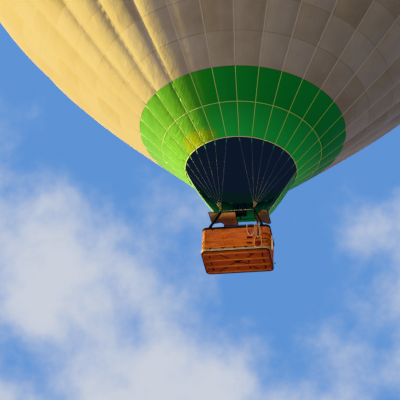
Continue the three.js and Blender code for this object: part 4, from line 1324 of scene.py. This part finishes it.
def paddedMaterial():
    # Padded nylon sleeve: dark navy, a little faded. Its weave is 0.5 mm and drawn at 7 mm to show.
    material, tree, shader, place = newMaterial("navyPaddedSleeve", "#2a2d2c", 0.7, Specular_IOR_Level=0.2)
    weave = addNode(tree, "ShaderNodeTexVoronoi", {"Vector": place, "Scale": 140.0})
    fade = addNode(tree, "ShaderNodeTexNoise", {"Vector": place, "Scale": 8.0, "Detail": 4.0})
    tone = addNode(tree, "ShaderNodeMix", {"Factor": fade, "A": "#1e2120", "B": "#363b3a"}, data_type="RGBA")
    bump = addNode(tree, "ShaderNodeBump", {"Height": weave, "Strength": 0.3, "Distance": 0.003})
    setInputs(tree, shader, {"Base Color": tone, "Normal": bump})
    return material


navySleeve = paddedMaterial()


def postPiece(name, sideX, sideY):
    foot = np.array([sideX * posts["footX"], sideY * posts["footY"], posts["foot"]])
    head = np.array([sideX * burnerFrame["halfX"], sideY * burnerFrame["halfY"], posts["top"]])
    share = np.linspace(0, 1, posts["rings"])
    path = foot + (head - foot) * share[:, None]
    # drawn in at six places, and at both ends
    swell = 1 - 0.10 * np.exp(-(((share * 6) % 1 - 0.5) / 0.12) ** 2) * (share > 0.05)
    swell[0] = swell[-1] = 0.9
    parts = [tubeMesh(up(path), posts["radius"] * swell, 24)]
    for place in posts["strapsAt"]:
        ends = np.array([place - posts["strapHalf"], place + posts["strapHalf"]])
        strap = foot + (head - foot) * ends[:, None]
        parts.append(tubeMesh(up(strap), posts["radius"] * 1.04, 24))
    return tubesPiece(name, parts, [navySleeve, darkHide], [0, 1, 1, 1])


for name, sideX, sideY in (("near_left", -1, -1), ("near_right", 1, -1), ("far_right", 1, 1),
                           ("far_left", -1, 1)):
    post = postPiece(f"sleeve_{name}", sideX, sideY)
    ridesOn(post, "balloon", "padding", f"post_{name}")
print("posts: four padded sleeves")

# Basket

basket = {
    "length": 2.64, "width": 1.53, "height": 1.10, "corner": 0.19,
    "wallMiddle": 0.0375,          # the weave's middle, in from the outside
    "stakeSpacing": 0.05, "caneRadius": 0.0105, "rowPitch": 0.0205, "weave": 0.0095,
    "firstRow": 0.015, "lastRow": 1.03, "stakeTop": 1.035, "stakeRadius": 0.008,
    "holeX": 0.55, "holeWidth": 0.216, "holeHeight": 0.086, "holeHeights": (0.315, 0.57),
    "holeEdge": 0.011, "pocketFrom": 0.069, "pocketDepth": 0.03,
}


def planPath(inset, spacing):
    # Points round the basket's plan, anticlockwise from the near left corner, with their outward ways
    corner = basket["corner"] - inset
    core = np.array([basket["length"], basket["width"]]) / 2 - basket["corner"]
    bendLength = math.pi / 2 * corner
    walls = [(np.array(out), 2 * core[0] if out[0] == 0 else 2 * core[1])
             for out in ((0, -1), (1, 0), (0, 1), (-1, 0))]
    total = sum(straight + bendLength for _, straight in walls)
    count = 2 * round(total / spacing / 2)
    points, ways = [], []
    for number in range(count):
        s = total * number / count
        for out, straight in walls:
            if s <= straight + bendLength:
                break
            s -= straight + bendLength
        # along the wall, then round the corner after it
        onward = np.array([-out[1], out[0]])
        bend = max(0.0, s - straight) / corner
        way = out * math.cos(bend) + onward * math.sin(bend)
        points.append(out * core + onward * (min(s, straight) - straight / 2) + way * corner)
        ways.append(way)
    return np.array(points), np.array(ways)


def wickerMaterial(name, pale, middle, dark):
    # Varnished willow and kooboo cane: every rod, 21 mm high, of its own shade, and patches of a few
    # rods together. The fibre is 1 mm in real cane and drawn at 6 mm.
    material, tree, shader, place = newMaterial(name, middle, 0.42, Coat_Weight=0.25, Coat_Roughness=0.3)
    rodRow, courseRow = (addNode(tree, "ShaderNodeMapping", {"Vector": place, "Scale": scale})
                         for scale in ((1.5, 1.5, 48.0), (1.1, 1.1, 9.0)))
    rods = addNode(tree, "ShaderNodeTexNoise", {"Vector": rodRow, "Scale": 1.0, "Detail": 2.0})
    course = addNode(tree, "ShaderNodeTexNoise", {"Vector": courseRow, "Scale": 1.0, "Detail": 3.0})
    patch = addNode(tree, "ShaderNodeMapRange", {
        "Value": course, "From Min": 0.3, "From Max": 0.7, "To Min": 0.38, "To Max": 0.62,
    })
    mixed = addNode(tree, "ShaderNodeMath", {0: rods, 1: 0.9, 2: patch}, operation="MULTIPLY_ADD")
    ramp = addNode(tree, "ShaderNodeValToRGB", {"Fac": mixed})
    first, last = ramp.color_ramp.elements
    first.position, first.color = 0.68, linearColour(dark)
    last.position, last.color = 1.0, linearColour(pale)
    ramp.color_ramp.elements.new(0.88).color = linearColour(middle)
    fibre = addNode(tree, "ShaderNodeTexNoise", {"Vector": place, "Scale": 160.0, "Detail": 3.0})
    bump = addNode(tree, "ShaderNodeBump", {"Height": fibre, "Strength": 0.25, "Distance": 0.002})
    setInputs(tree, shader, {"Base Color": ramp, "Normal": bump})
    return material


wicker = wickerMaterial("varnishedWillow", "#d4741f", "#b65612", "#80340c")
darkCane = wickerMaterial("stainedCane", "#a04c18", "#7d3410", "#54200a")
pocketHide = leatherMaterial("brownToePocket", "#46240f", "#331809", 0.7)


def wovenWalls():
    # Canes in front of and behind the stakes by turns; those at a foot hole's height stop at its sides
    points, ways = planPath(basket["wallMiddle"], basket["stakeSpacing"] / 2)
    count = len(points)
    lines, closed = [], []
    row, z = 0, basket["firstRow"]
    while z < basket["lastRow"]:
        inHole = any(abs(z - hole) < basket["holeHeight"] / 2 for hole in basket["holeHeights"])
        phase = np.sin(math.pi / 2 * np.arange(count) + math.pi * row)
        out = phase * basket["weave"]
        line = np.column_stack([points + ways * out[:, None], np.full(count, z)])
        if not inHole:
            lines.append(line)
            closed.append(True)
        else:
            isOpen = np.abs(points[:, 0] - basket["holeX"]) >= basket["holeWidth"] / 2
            firstOpen = next(i for i in range(count) if isOpen[i] and not isOpen[i - 1])
            order = np.roll(np.arange(count), -firstOpen)
            run = []
            for i in order:
                if isOpen[i]:
                    run.append(line[i])
                elif run:
                    lines.append(run)
                    closed.append(False)
                    run = []
            if run:
                lines.append(run)
                closed.append(False)
        row += 1
        z += basket["rowPitch"]
    weave = canes("wicker_weave", [up(line) for line in lines], closed, basket["caneRadius"], 5, 1, wicker)
    stakes = []
    for i in range(1, count, 2):
        x, y = points[i]
        ends = [0.005, basket["stakeTop"]]
        if abs(x - basket["holeX"]) < basket["holeWidth"] / 2:
            half = basket["holeHeight"] / 2
            ends[1:1] = [hole + side * half for hole in basket["holeHeights"] for side in (-1, 1)]
        spans = zip(ends[::2], ends[1::2])
        stakes.extend([np.array([(x, y, low), (x, y, high)]) for low, high in spans])
    stakePiece = canes("wicker_stakes", [up(line) for line in stakes], [False] * len(stakes),
                       basket["stakeRadius"], 6, 1, darkCane)
    # leather frames sewn round the foot holes, with a shallow toe pocket behind each
    frames = []
    halfW, halfH = basket["holeWidth"] / 2, basket["holeHeight"] / 2
    for side in (-1, 1):
        y = side * (basket["width"] / 2 - basket["wallMiddle"])
        inner, back = (side * (basket["width"] / 2 - depth) for depth in
                       (basket["pocketFrom"], basket["pocketFrom"] + basket["pocketDepth"]))
        for hole in basket["holeHeights"]:
            ring = [(basket["holeX"] + halfW * cx, y, hole + halfH * cz)
                    for cx, cz in ((-1, -0.8), (-0.92, -1), (0.92, -1), (1, -0.8), (1, 0.8), (0.92, 1),
                                   (-0.92, 1), (-1, 0.8))]
            frames.append(tubeMesh(up(ring), basket["holeEdge"], 8, closed=True))
            frames.append(boxMesh(up((basket["holeX"] - halfW - 0.01, min(inner, back), hole - halfH - 0.01)),
                                  up((basket["holeX"] + halfW + 0.01, max(inner, back), hole + halfH + 0.01)),
                                  0.012))
    framesPiece = tubesPiece("hole_frames", frames, [darkCane, pocketHide], [0, 1] * (len(frames) // 2))
    return joinPieces("wicker_walls", [weave, stakePiece, framesPiece])


walls = wovenWalls()
ridesOn(walls, "balloon", "wicker", "wall_near", "wall_far", "wall_left", "wall_right")
print("walls: woven canes,", len(walls.data.polygons), "faces")

rim = {"width": 0.11, "height": 0.085, "foot": 1.04, "sides": 20}


def rimPiece():
    # A padded roll of hide: flattened round section, drawn in a little at every lacing
    inset = rim["width"] / 2
    points, ways = planPath(inset, 0.03)
    z = rim["foot"] + rim["height"] / 2
    turn = fullTurn(rim["sides"])
    # squared circle, so that it fills the solid's section
    power = 0.62
    across = np.sign(np.cos(turn)) * np.abs(np.cos(turn)) ** power * rim["width"] / 2
    lift = np.sign(np.sin(turn)) * np.abs(np.sin(turn)) ** power * rim["height"] / 2
    pinch = 1 - 0.05 * (np.arange(len(points)) % 6 == 0)
    rings = np.zeros((len(points), rim["sides"], 3))
    rings[:, :, :2] = points[:, None] + ways[:, None] * (across * pinch[:, None])[..., None]
    rings[:, :, 2] = z + lift * pinch[:, None]
    index = np.arange(len(points) * rim["sides"]).reshape(len(points), rim["sides"])
    side, ahead = np.roll(index, -1, axis=1), np.roll(index, -1, axis=0)
    sideAhead = np.roll(ahead, -1, axis=1)
    faces = np.stack([index, ahead, sideAhead, side], -1).reshape(-1, 4)
    return meshPiece("rim_roll", up(rings.reshape(-1, 3)), faces, [darkHide])


padRim = rimPiece()
ridesOn(padRim, "balloon", "rim_leather", "basket_rim")


def bandAround(name, material, inset, thickness, low, high, bulge):
    # A band round the basket's plan, from its inside face outwards
    points, ways = planPath(inset, 0.04)
    heights = np.linspace(low, high, 5)
    swell = bulge * np.sin(np.pi * np.linspace(0, 1, 5))
    outer = np.zeros((len(heights), len(points), 3))
    inner = np.zeros_like(outer)
    for row, height in enumerate(heights):
        outer[row, :, :2] = points + ways * (thickness + swell[row])
        inner[row, :, :2] = points
        outer[row, :, 2] = inner[row, :, 2] = height
    across = np.linspace(0, 1, len(points) + 1)
    return shellPiece(name, up(outer), up(inner), True, across, heights, [material, material])


rawhide = leatherMaterial("paleRawhide", "#b0a07a", "#948462", 0.6, 60.0)


def woodMaterial(name, colour, dark):
    # Varnished ash or ply: long grain along X, darker in the pores, 2 mm apart and drawn at 24 mm
    material, tree, shader, place = newMaterial(name, colour, 0.45, Coat_Weight=0.2, Coat_Roughness=0.25)
    along = addNode(tree, "ShaderNodeMapping", {"Vector": place, "Scale": (1.2, 14.0, 14.0)})
    grain = addNode(tree, "ShaderNodeTexNoise", {
        "Vector": along, "Scale": 3.0, "Detail": 8.0, "Distortion": 0.6,
    })
    tone = addNode(tree, "ShaderNodeMapRange", {"Value": grain, "From Min": 0.35, "From Max": 0.65})
    base = addNode(tree, "ShaderNodeMix", {"Factor": tone, "A": dark, "B": colour}, data_type="RGBA")
    bump = addNode(tree, "ShaderNodeBump", {"Height": grain, "Strength": 0.2, "Distance": 0.003})
    setInputs(tree, shader, {"Base Color": base, "Normal": bump})
    return material


runnerWood = woodMaterial("varnishedAsh", "#ac6230", "#8a461b")
floorWood = woodMaterial("stainedPly", "#8f4216", "#6c2c0d")

footHide = leatherMaterial("darkFootHide", "#2a150c", "#1c0e08", 0.6)
rawhideBand = {"inset": 0.0146, "thickness": 0.0078, "low": 0.02, "high": 0.125, "bulge": 0.002}
footBinding = {"inset": 0.03, "thickness": 0.022, "low": -0.024, "high": 0.026, "bulge": 0.006}
# dark leather points sewn over the band's top edge, pointing down
notches = {
    "long": (-0.939, -0.453, -0.011, 0.418), "end": (-0.35, 0.3), "halfWidth": 0.085,
    "top": 0.145, "point": 0.078, "thickness": 0.004,
}


def notchPiece():
    places = []
    for side in (-1, 1):
        places += [((x, side * (basket["width"] / 2 - 0.006)), (0, side)) for x in notches["long"]]
        places += [((side * (basket["length"] / 2 - 0.006), y), (side, 0)) for y in notches["end"]]
    meshes = []
    for (x, y), (wx, wy) in places:
        side = np.array([-wy, wx]) * notches["halfWidth"]
        face = np.array([wx, wy]) * notches["thickness"]
        base = np.array([x, y])
        low, high = notches["point"], notches["top"]
        front = [(*(base - side + face), high), (*(base + face), low), (*(base + side + face), high)]
        rear = [(*(base - side), high), (*base, low), (*(base + side), high)]
        meshes.append((up(np.array(front + rear)),
                       [[0, 1, 2], [5, 4, 3], [0, 3, 4, 1], [1, 4, 5, 2], [2, 5, 3, 0]]))
    return tubesPiece("band_points", meshes, [darkHide])


band = joinPieces("rawhide_wrap", [bandAround("rawhide_wrap", rawhide, **rawhideBand), notchPiece()])
ridesOn(band, "balloon", "rawhide", "rawhide_band")
ridesOn(bandAround("foot_binding", footHide, **footBinding), "balloon", "rim_leather")

# Handles and lashings on the outside of the near wall and round its two corners
fittings = {
    "lashings": (0.69, 0.45, 0.29), "lashingStart": 1.04, "lashingEnd": -0.476, "lashingRadius": 0.012,
    "grips": [(1.148, 0.536), (1.222, 0.322), (1.28, 0.61), (-1.14, 0.87), (-1.14, 0.57), (-1.14, 0.39)],
    "gripHalf": 0.05, "gripOut": 0.03, "gripRadius": 0.011,
    "eyeX": 1.34, "eyeY": 0.62, "eyeHeight": 0.235, "eyeRadius": 0.03,
    "tickX": -0.876, "tickHeights": (1.01, 0.97, 0.93),      # a short strap end at the left
    # hide sewn to the wall behind the hanging loops: a strip, and a disc of this radius
    "strip": (0.802, 0.93, 0.45, 1.0), "disc": (0.892, 0.25, 0.11), "patchFrom": 0.767, "patchTo": 0.775,
}


def fittingPieces():
    points, ways = planPath(-0.004, 0.02)
    # the near wall and the corners at its two ends
    near = [i for i in range(len(points)) if points[i][1] < fittings["lashingEnd"]]
    lines, grips = [], []
    for height in fittings["lashings"]:
        arc = [(*points[i], height + 0.006 * math.sin(9 * points[i][0])) for i in near
               if points[i][0] > fittings["lashingStart"]]
        lines.append(tubeMesh(up(arc), fittings["lashingRadius"], 8))
    tick = [(fittings["tickX"], -basket["width"] / 2 - 0.004, z) for z in fittings["tickHeights"]]
    lines.append(tubeMesh(up(tick), 0.011, 8))
    half, out = fittings["gripHalf"], fittings["gripOut"]
    # a grip's upper half, step out from the wall and rise, and then its lower half
    bow = [(0, half), (out * 0.8, half * 0.9), (out, half * 0.4)]
    bow += [(step, -rise) for step, rise in bow[::-1]]
    for x, height in fittings["grips"]:
        i = min(near, key=lambda n: abs(points[n][0] - x))
        place, way = points[i] - ways[i] * 0.012, ways[i]
        path = [(*(place + way * step), height + rise) for step, rise in bow]
        grips.append(tubeMesh(smoothPath(up(path), 0.008), fittings["gripRadius"], 8))
    # a small eye for a line, low on the far right corner
    eye = [(fittings["eyeX"] + fittings["eyeRadius"] * math.cos(a), fittings["eyeY"],
            fittings["eyeHeight"] + fittings["eyeRadius"] * math.sin(a))
           for a in fullTurn(16)]
    lines.append(tubeMesh(up(eye), 0.009, 8, closed=True))
    x0, x1, z0, z1 = fittings["strip"]
    patches = [boxMesh(up((x0, -fittings["patchTo"], z0)), up((x1, -fittings["patchFrom"], z1)), 0.003)]
    x, z, radius = fittings["disc"]
    profile = [(0, 0), (radius, 0), (radius, 0.006), (radius - 0.006, 0.008), (0, 0.008)]
    rings, quads = latheMesh(profile, 32)
    stood = np.stack([rings[:, 0] + x, -rings[:, 2] - fittings["patchFrom"], rings[:, 1] + z + footZ], -1)
    patches.append((stood, quads))
    return (tubesPiece("wall_lashings", lines, [darkHide]), tubesPiece("wall_grips", grips, [redGrip]),
            tubesPiece("loop_patch", patches, [patchHide]))


redGrip = leatherMaterial("redBrownGrip", "#8c2a20", "#661a12", 0.5, 70.0)
patchHide = leatherMaterial("redBrownPatch", "#8e3a22", "#5e2412", 0.6)
for piece in fittingPieces():
    ridesOn(piece, "balloon", "rim_leather")

runners = {
    "y": {"near": -0.6, "near_middle": -0.165, "far_middle": 0.245, "far": 0.63},
    "halfLength": 1.23, "halfWidth": 0.04, "low": -0.0504, "high": -0.0004, "edge": 0.012,
}
for runnerName, y in runners["y"].items():
    long, wide = runners["halfLength"], runners["halfWidth"]
    bar = boxMesh(up((-long, y - wide, runners["low"])), up((long, y + wide, runners["high"])),
                  runners["edge"])
    piece = tubesPiece(f"runner_bar_{runnerName}", [bar], [runnerWood])
    ridesOn(piece, "balloon", "runner_wood", f"runner_{runnerName}")

floorBoard = {"inset": 0.0604, "thickness": 0.024}


def floorPiece():
    points, _ = planPath(floorBoard["inset"], 0.05)
    count = len(points)
    vertices = np.vstack([np.column_stack([points, np.full(count, height)])
                          for height in (0.0, floorBoard["thickness"])])
    faces = [list(range(count))[::-1], list(range(count, 2 * count))]
    faces += [[i, (i + 1) % count, count + (i + 1) % count, count + i] for i in range(count)]
    return meshPiece("floor_board", up(vertices), faces, [floorWood], smooth=False)


ridesOn(floorPiece(), "balloon", "floor_board", "basket_floor")

underside = {
    "top": -0.001, "thickness": 0.006, "strapWidth": 0.05, "runnerShadowWidth": 0.03,
    # straps under the floor between the runners: x, y of both ends
    "straps": [
        (-0.67, -0.55, -0.31, -0.22), (-0.26, -0.12, 0.4, 0.19), (0.47, 0.3, 0.72, 0.58),
        (0.76, -0.55, 0.42, -0.22), (0.3, -0.12, -0.3, 0.19), (-0.36, 0.3, -0.76, 0.58),
        (-1.01, -0.44, -1.01, -0.32), (-1.01, 0.0, -1.01, 0.14), (-1.01, 0.3, -1.01, 0.58),
        (1.01, -0.55, 1.01, -0.22), (1.01, -0.11, 1.01, 0.19), (1.01, 0.3, 1.01, 0.58),
        (0.43, -0.04, 0.43, 0.16), (0.43, 0.31, 0.43, 0.56),
    ],
    # painted shadow: thin dark strips beside the middle runners, where their shadow falls: x, y of both ends
    "runnerShadowStrips": [(-1.24, -0.085, -0.3, -0.085), (0.1, -0.08, 0.43, -0.08)],
    # x, y of the middle, length, width
    "patches": [(0.0, 0.02, 0.2, 0.16), (0.03, -0.41, 0.05, 0.08), (-0.03, 0.44, 0.05, 0.08),
                (0.56, -0.46, 0.09, 0.07)],
}


def undersideStrapsAndShadows():
    parts = []
    middle = underside["top"] - underside["thickness"] / 2
    # the straps, then the painted runner shadows
    for width, rows in ((underside["strapWidth"], underside["straps"]),
                        (underside["runnerShadowWidth"], underside["runnerShadowStrips"])):
        for x0, y0, x1, y1 in rows:
            across = (y1 - y0, x0 - x1, 0)
            parts.append(stripMesh(*up([(x0, y0, middle), (x1, y1, middle)]), across, width,
                                   underside["thickness"]))
    for x, y, long, wide in underside["patches"]:
        top, low = underside["top"], underside["top"] - underside["thickness"] - 0.003
        parts.append(boxMesh(up((x - long / 2, y - wide / 2, low)), up((x + long / 2, y + wide / 2, top)),
                             0.002))
    return tubesPiece("under_straps_and_shadows", parts, [darkHide])


ridesOn(undersideStrapsAndShadows(), "balloon", "rim_leather")


partition = {"rollDown": 0.03, "rollRadius": 0.026, "coreDown": 0.05}


def partitionPiece(name, low, high):
    # Inner wall of stained cane between two corners of the frame, with a padded roll along its top
    core = boxMesh(low, high - (0, 0, partition["coreDown"]), 0.004)
    longWay = np.argmax((high - low)[:2])
    start = (low + high) / 2
    start[2] = high[2] - partition["rollDown"]
    end = start.copy()
    start[longWay], end[longWay] = low[longWay], high[longWay]
    roll = tubeMesh(np.linspace(start, end, 12), partition["rollRadius"], 14)
    return tubesPiece(name, [core, roll], [darkCane, darkHide], [0, 1])


for nodeName in ("partition_across", "partition_along"):
    low, high = (np.array(corner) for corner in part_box(nodeName))
    ridesOn(partitionPiece(f"{nodeName}_wicker", low, high), "balloon", "wicker", nodeName)

tank = {
    "radius": 0.15, "foot": 0.11, "collar": 0.09, "height": 0.88, "quilt": 0.1,
    "valve": [(0, 0.8), (0.02, 0.8), (0.02, 0.84), (0.034, 0.842), (0.034, 0.86), (0, 0.86)],
}
tankCover = leatherMaterial("quiltedCover", "#2d3034", "#1c1e21", 0.6, 40.0)


def tankPiece(name, centre):
    # A cylinder in its quilted cover, with a collar round the valve
    r, foot, collar, top = (tank[key] for key in ("radius", "foot", "collar", "height"))
    profile = [(0, 0), (foot, 0), (foot, 0.03), (r - 0.02, 0.045), (r, 0.07)]
    for low in np.arange(0.12, 0.70, tank["quilt"]):
        profile += [(r, low), (r - 0.004, low + tank["quilt"] / 2)]
    profile += [(r, 0.72), (r - 0.012, 0.75), (0.125, 0.77), (collar, 0.785), (collar, top),
                (collar - 0.008, top), (collar - 0.008, 0.8), (0, 0.8)]
    return tubesPiece(name, [latheMesh(profile, 36, centre), latheMesh(tank["valve"], 18, centre)],
                      [tankCover, brass], [0, 1])


for place in ("near_left", "far_left", "near_right", "far_right"):
    low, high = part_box(f"gas_cylinder_{place}")
    centre = ((low[0] + high[0]) / 2, (low[1] + high[1]) / 2, low[2])
    ridesOn(tankPiece(f"cylinder_{place}", centre), "balloon", "cylinder_metal", f"gas_cylinder_{place}")
print("basket: rim, band, runners, floor, partitions and cylinders")

# Canvas bag at the right end

# the canvas glows with painted light, for daylight through it
canvas = webbingMaterial("creamCanvas", "#f4e6bf", "#dccb9c", 20.0, "#6a6048")
bagMesh = {"rows": 14, "columns": 24, "squareness": 0.8, "depthShare": 0.7, "gathers": 0.06}


def bagPiece():
    # Filled sack inside its box in the frame, hanging against the side nearest the basket
    low, high = (np.array(corner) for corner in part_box("rim_bag"))
    rows, columns = bagMesh["rows"], bagMesh["columns"]
    half = (high - low) / 2
    vertices = []
    for row in range(rows + 1):
        v = row / rows
        # drawn in at both ends, fullest between
        full = math.sin(math.pi * min(1, 0.12 + 0.88 * v ** 0.62)) ** 0.6
        pinch = 0.6 if row in (0, rows) else 1.0
        deep = half[0] * (0.35 + 0.62 * full) * bagMesh["depthShare"]
        wide = half[1] * (0.3 + 0.68 * full)
        for a in fullTurn(columns):
            x, y = (np.sign(way) * abs(way) ** bagMesh["squareness"] * pinch
                    for way in (np.cos(a), np.sin(a)))
            gather = 1 - bagMesh["gathers"] * (1 - math.sin(9 * v + a))
            vertices.append((low[0] + deep + x * deep, low[1] + half[1] + y * wide * gather,
                             low[2] + (high[2] - low[2]) * v))
    return meshPiece("canvas_bag", vertices, cappedFaces(rows + 1, columns), [canvas])


bag = bagPiece()
ridesOn(bag, "balloon", "canvas", "rim_bag")

# Handling rope: the same points as the solids

rope = {
    "radius": 0.014, "strands": 3, "lay": 0.12, "sides": 18, "groove": 0.1,
    "inY": -0.681, "outY": -0.793, "top": 1.101, "arch": 0.068,
}


def overTheRim(x):
    # From inside the basket up, over the padded rim and down outside
    inY, outY, top, arch = rope["inY"], rope["outY"], rope["top"], rope["arch"]
    return [(x, inY, top), (x, inY, top + 0.032), (x, inY - 0.022, top + arch - 0.014),
            (x, (inY + outY) / 2, top + arch), (x, outY + 0.022, top + arch - 0.014),
            (x, outY + 0.004, top + 0.032)]


def ropeRoute(start, places, end):
    return overTheRim(start) + [(x, rope["outY"], z) for x, z in places] + overTheRim(end)[::-1]


ropeRoutes = {
    "short": ropeRoute(0.445, [
        (0.446, 1.0), (0.456, 0.9), (0.478, 0.78), (0.52, 0.67), (0.603, 0.605), (0.685, 0.655),
        (0.722, 0.75), (0.734, 0.88), (0.736, 1.0),
    ], 0.736),
    "middle": ropeRoute(0.832, [
        (0.832, 1.0), (0.831, 0.8), (0.834, 0.65), (0.846, 0.56), (0.888, 0.512), (0.93, 0.56),
        (0.941, 0.65), (0.938, 0.8), (0.912, 0.93), (0.88, 1.03),
    ], 0.874),
    "long": ropeRoute(0.788, [
        (0.786, 1.0), (0.776, 0.77), (0.776, 0.56), (0.764, 0.4), (0.752, 0.27), (0.762, 0.14),
        (0.808, 0.062), (0.879, 0.034), (0.956, 0.05), (1.012, 0.11), (1.04, 0.22), (1.034, 0.34),
        (1.006, 0.45), (0.992, 0.6), (0.984, 0.78), (0.955, 0.93), (0.921, 1.03),
    ], 0.916),
}
ropeFibre = webbingMaterial("tanLaidRope", "#f4c694", "#d8a46e", 25.0)
for routeName, points in ropeRoutes.items():
    line = smoothPath(up(points), 0.012)
    along = np.concatenate([[0], np.cumsum(np.linalg.norm(np.diff(line, axis=0), axis=1))])
    turn = fullTurn(rope["sides"])
    # the strands' grooves wind round the rope once in every lay
    wound = turn[None, :] - 2 * math.pi * along[:, None] / rope["lay"]
    grooves = 1 - rope["groove"] * (1 - np.cos(rope["strands"] * wound))
    piece = tubesPiece(f"laid_rope_{routeName}",
                       [tubeMesh(line, rope["radius"], rope["sides"], section=grooves)], [ropeFibre])
    ridesOn(piece, "balloon", "rope", f"rope_{routeName}_loop")
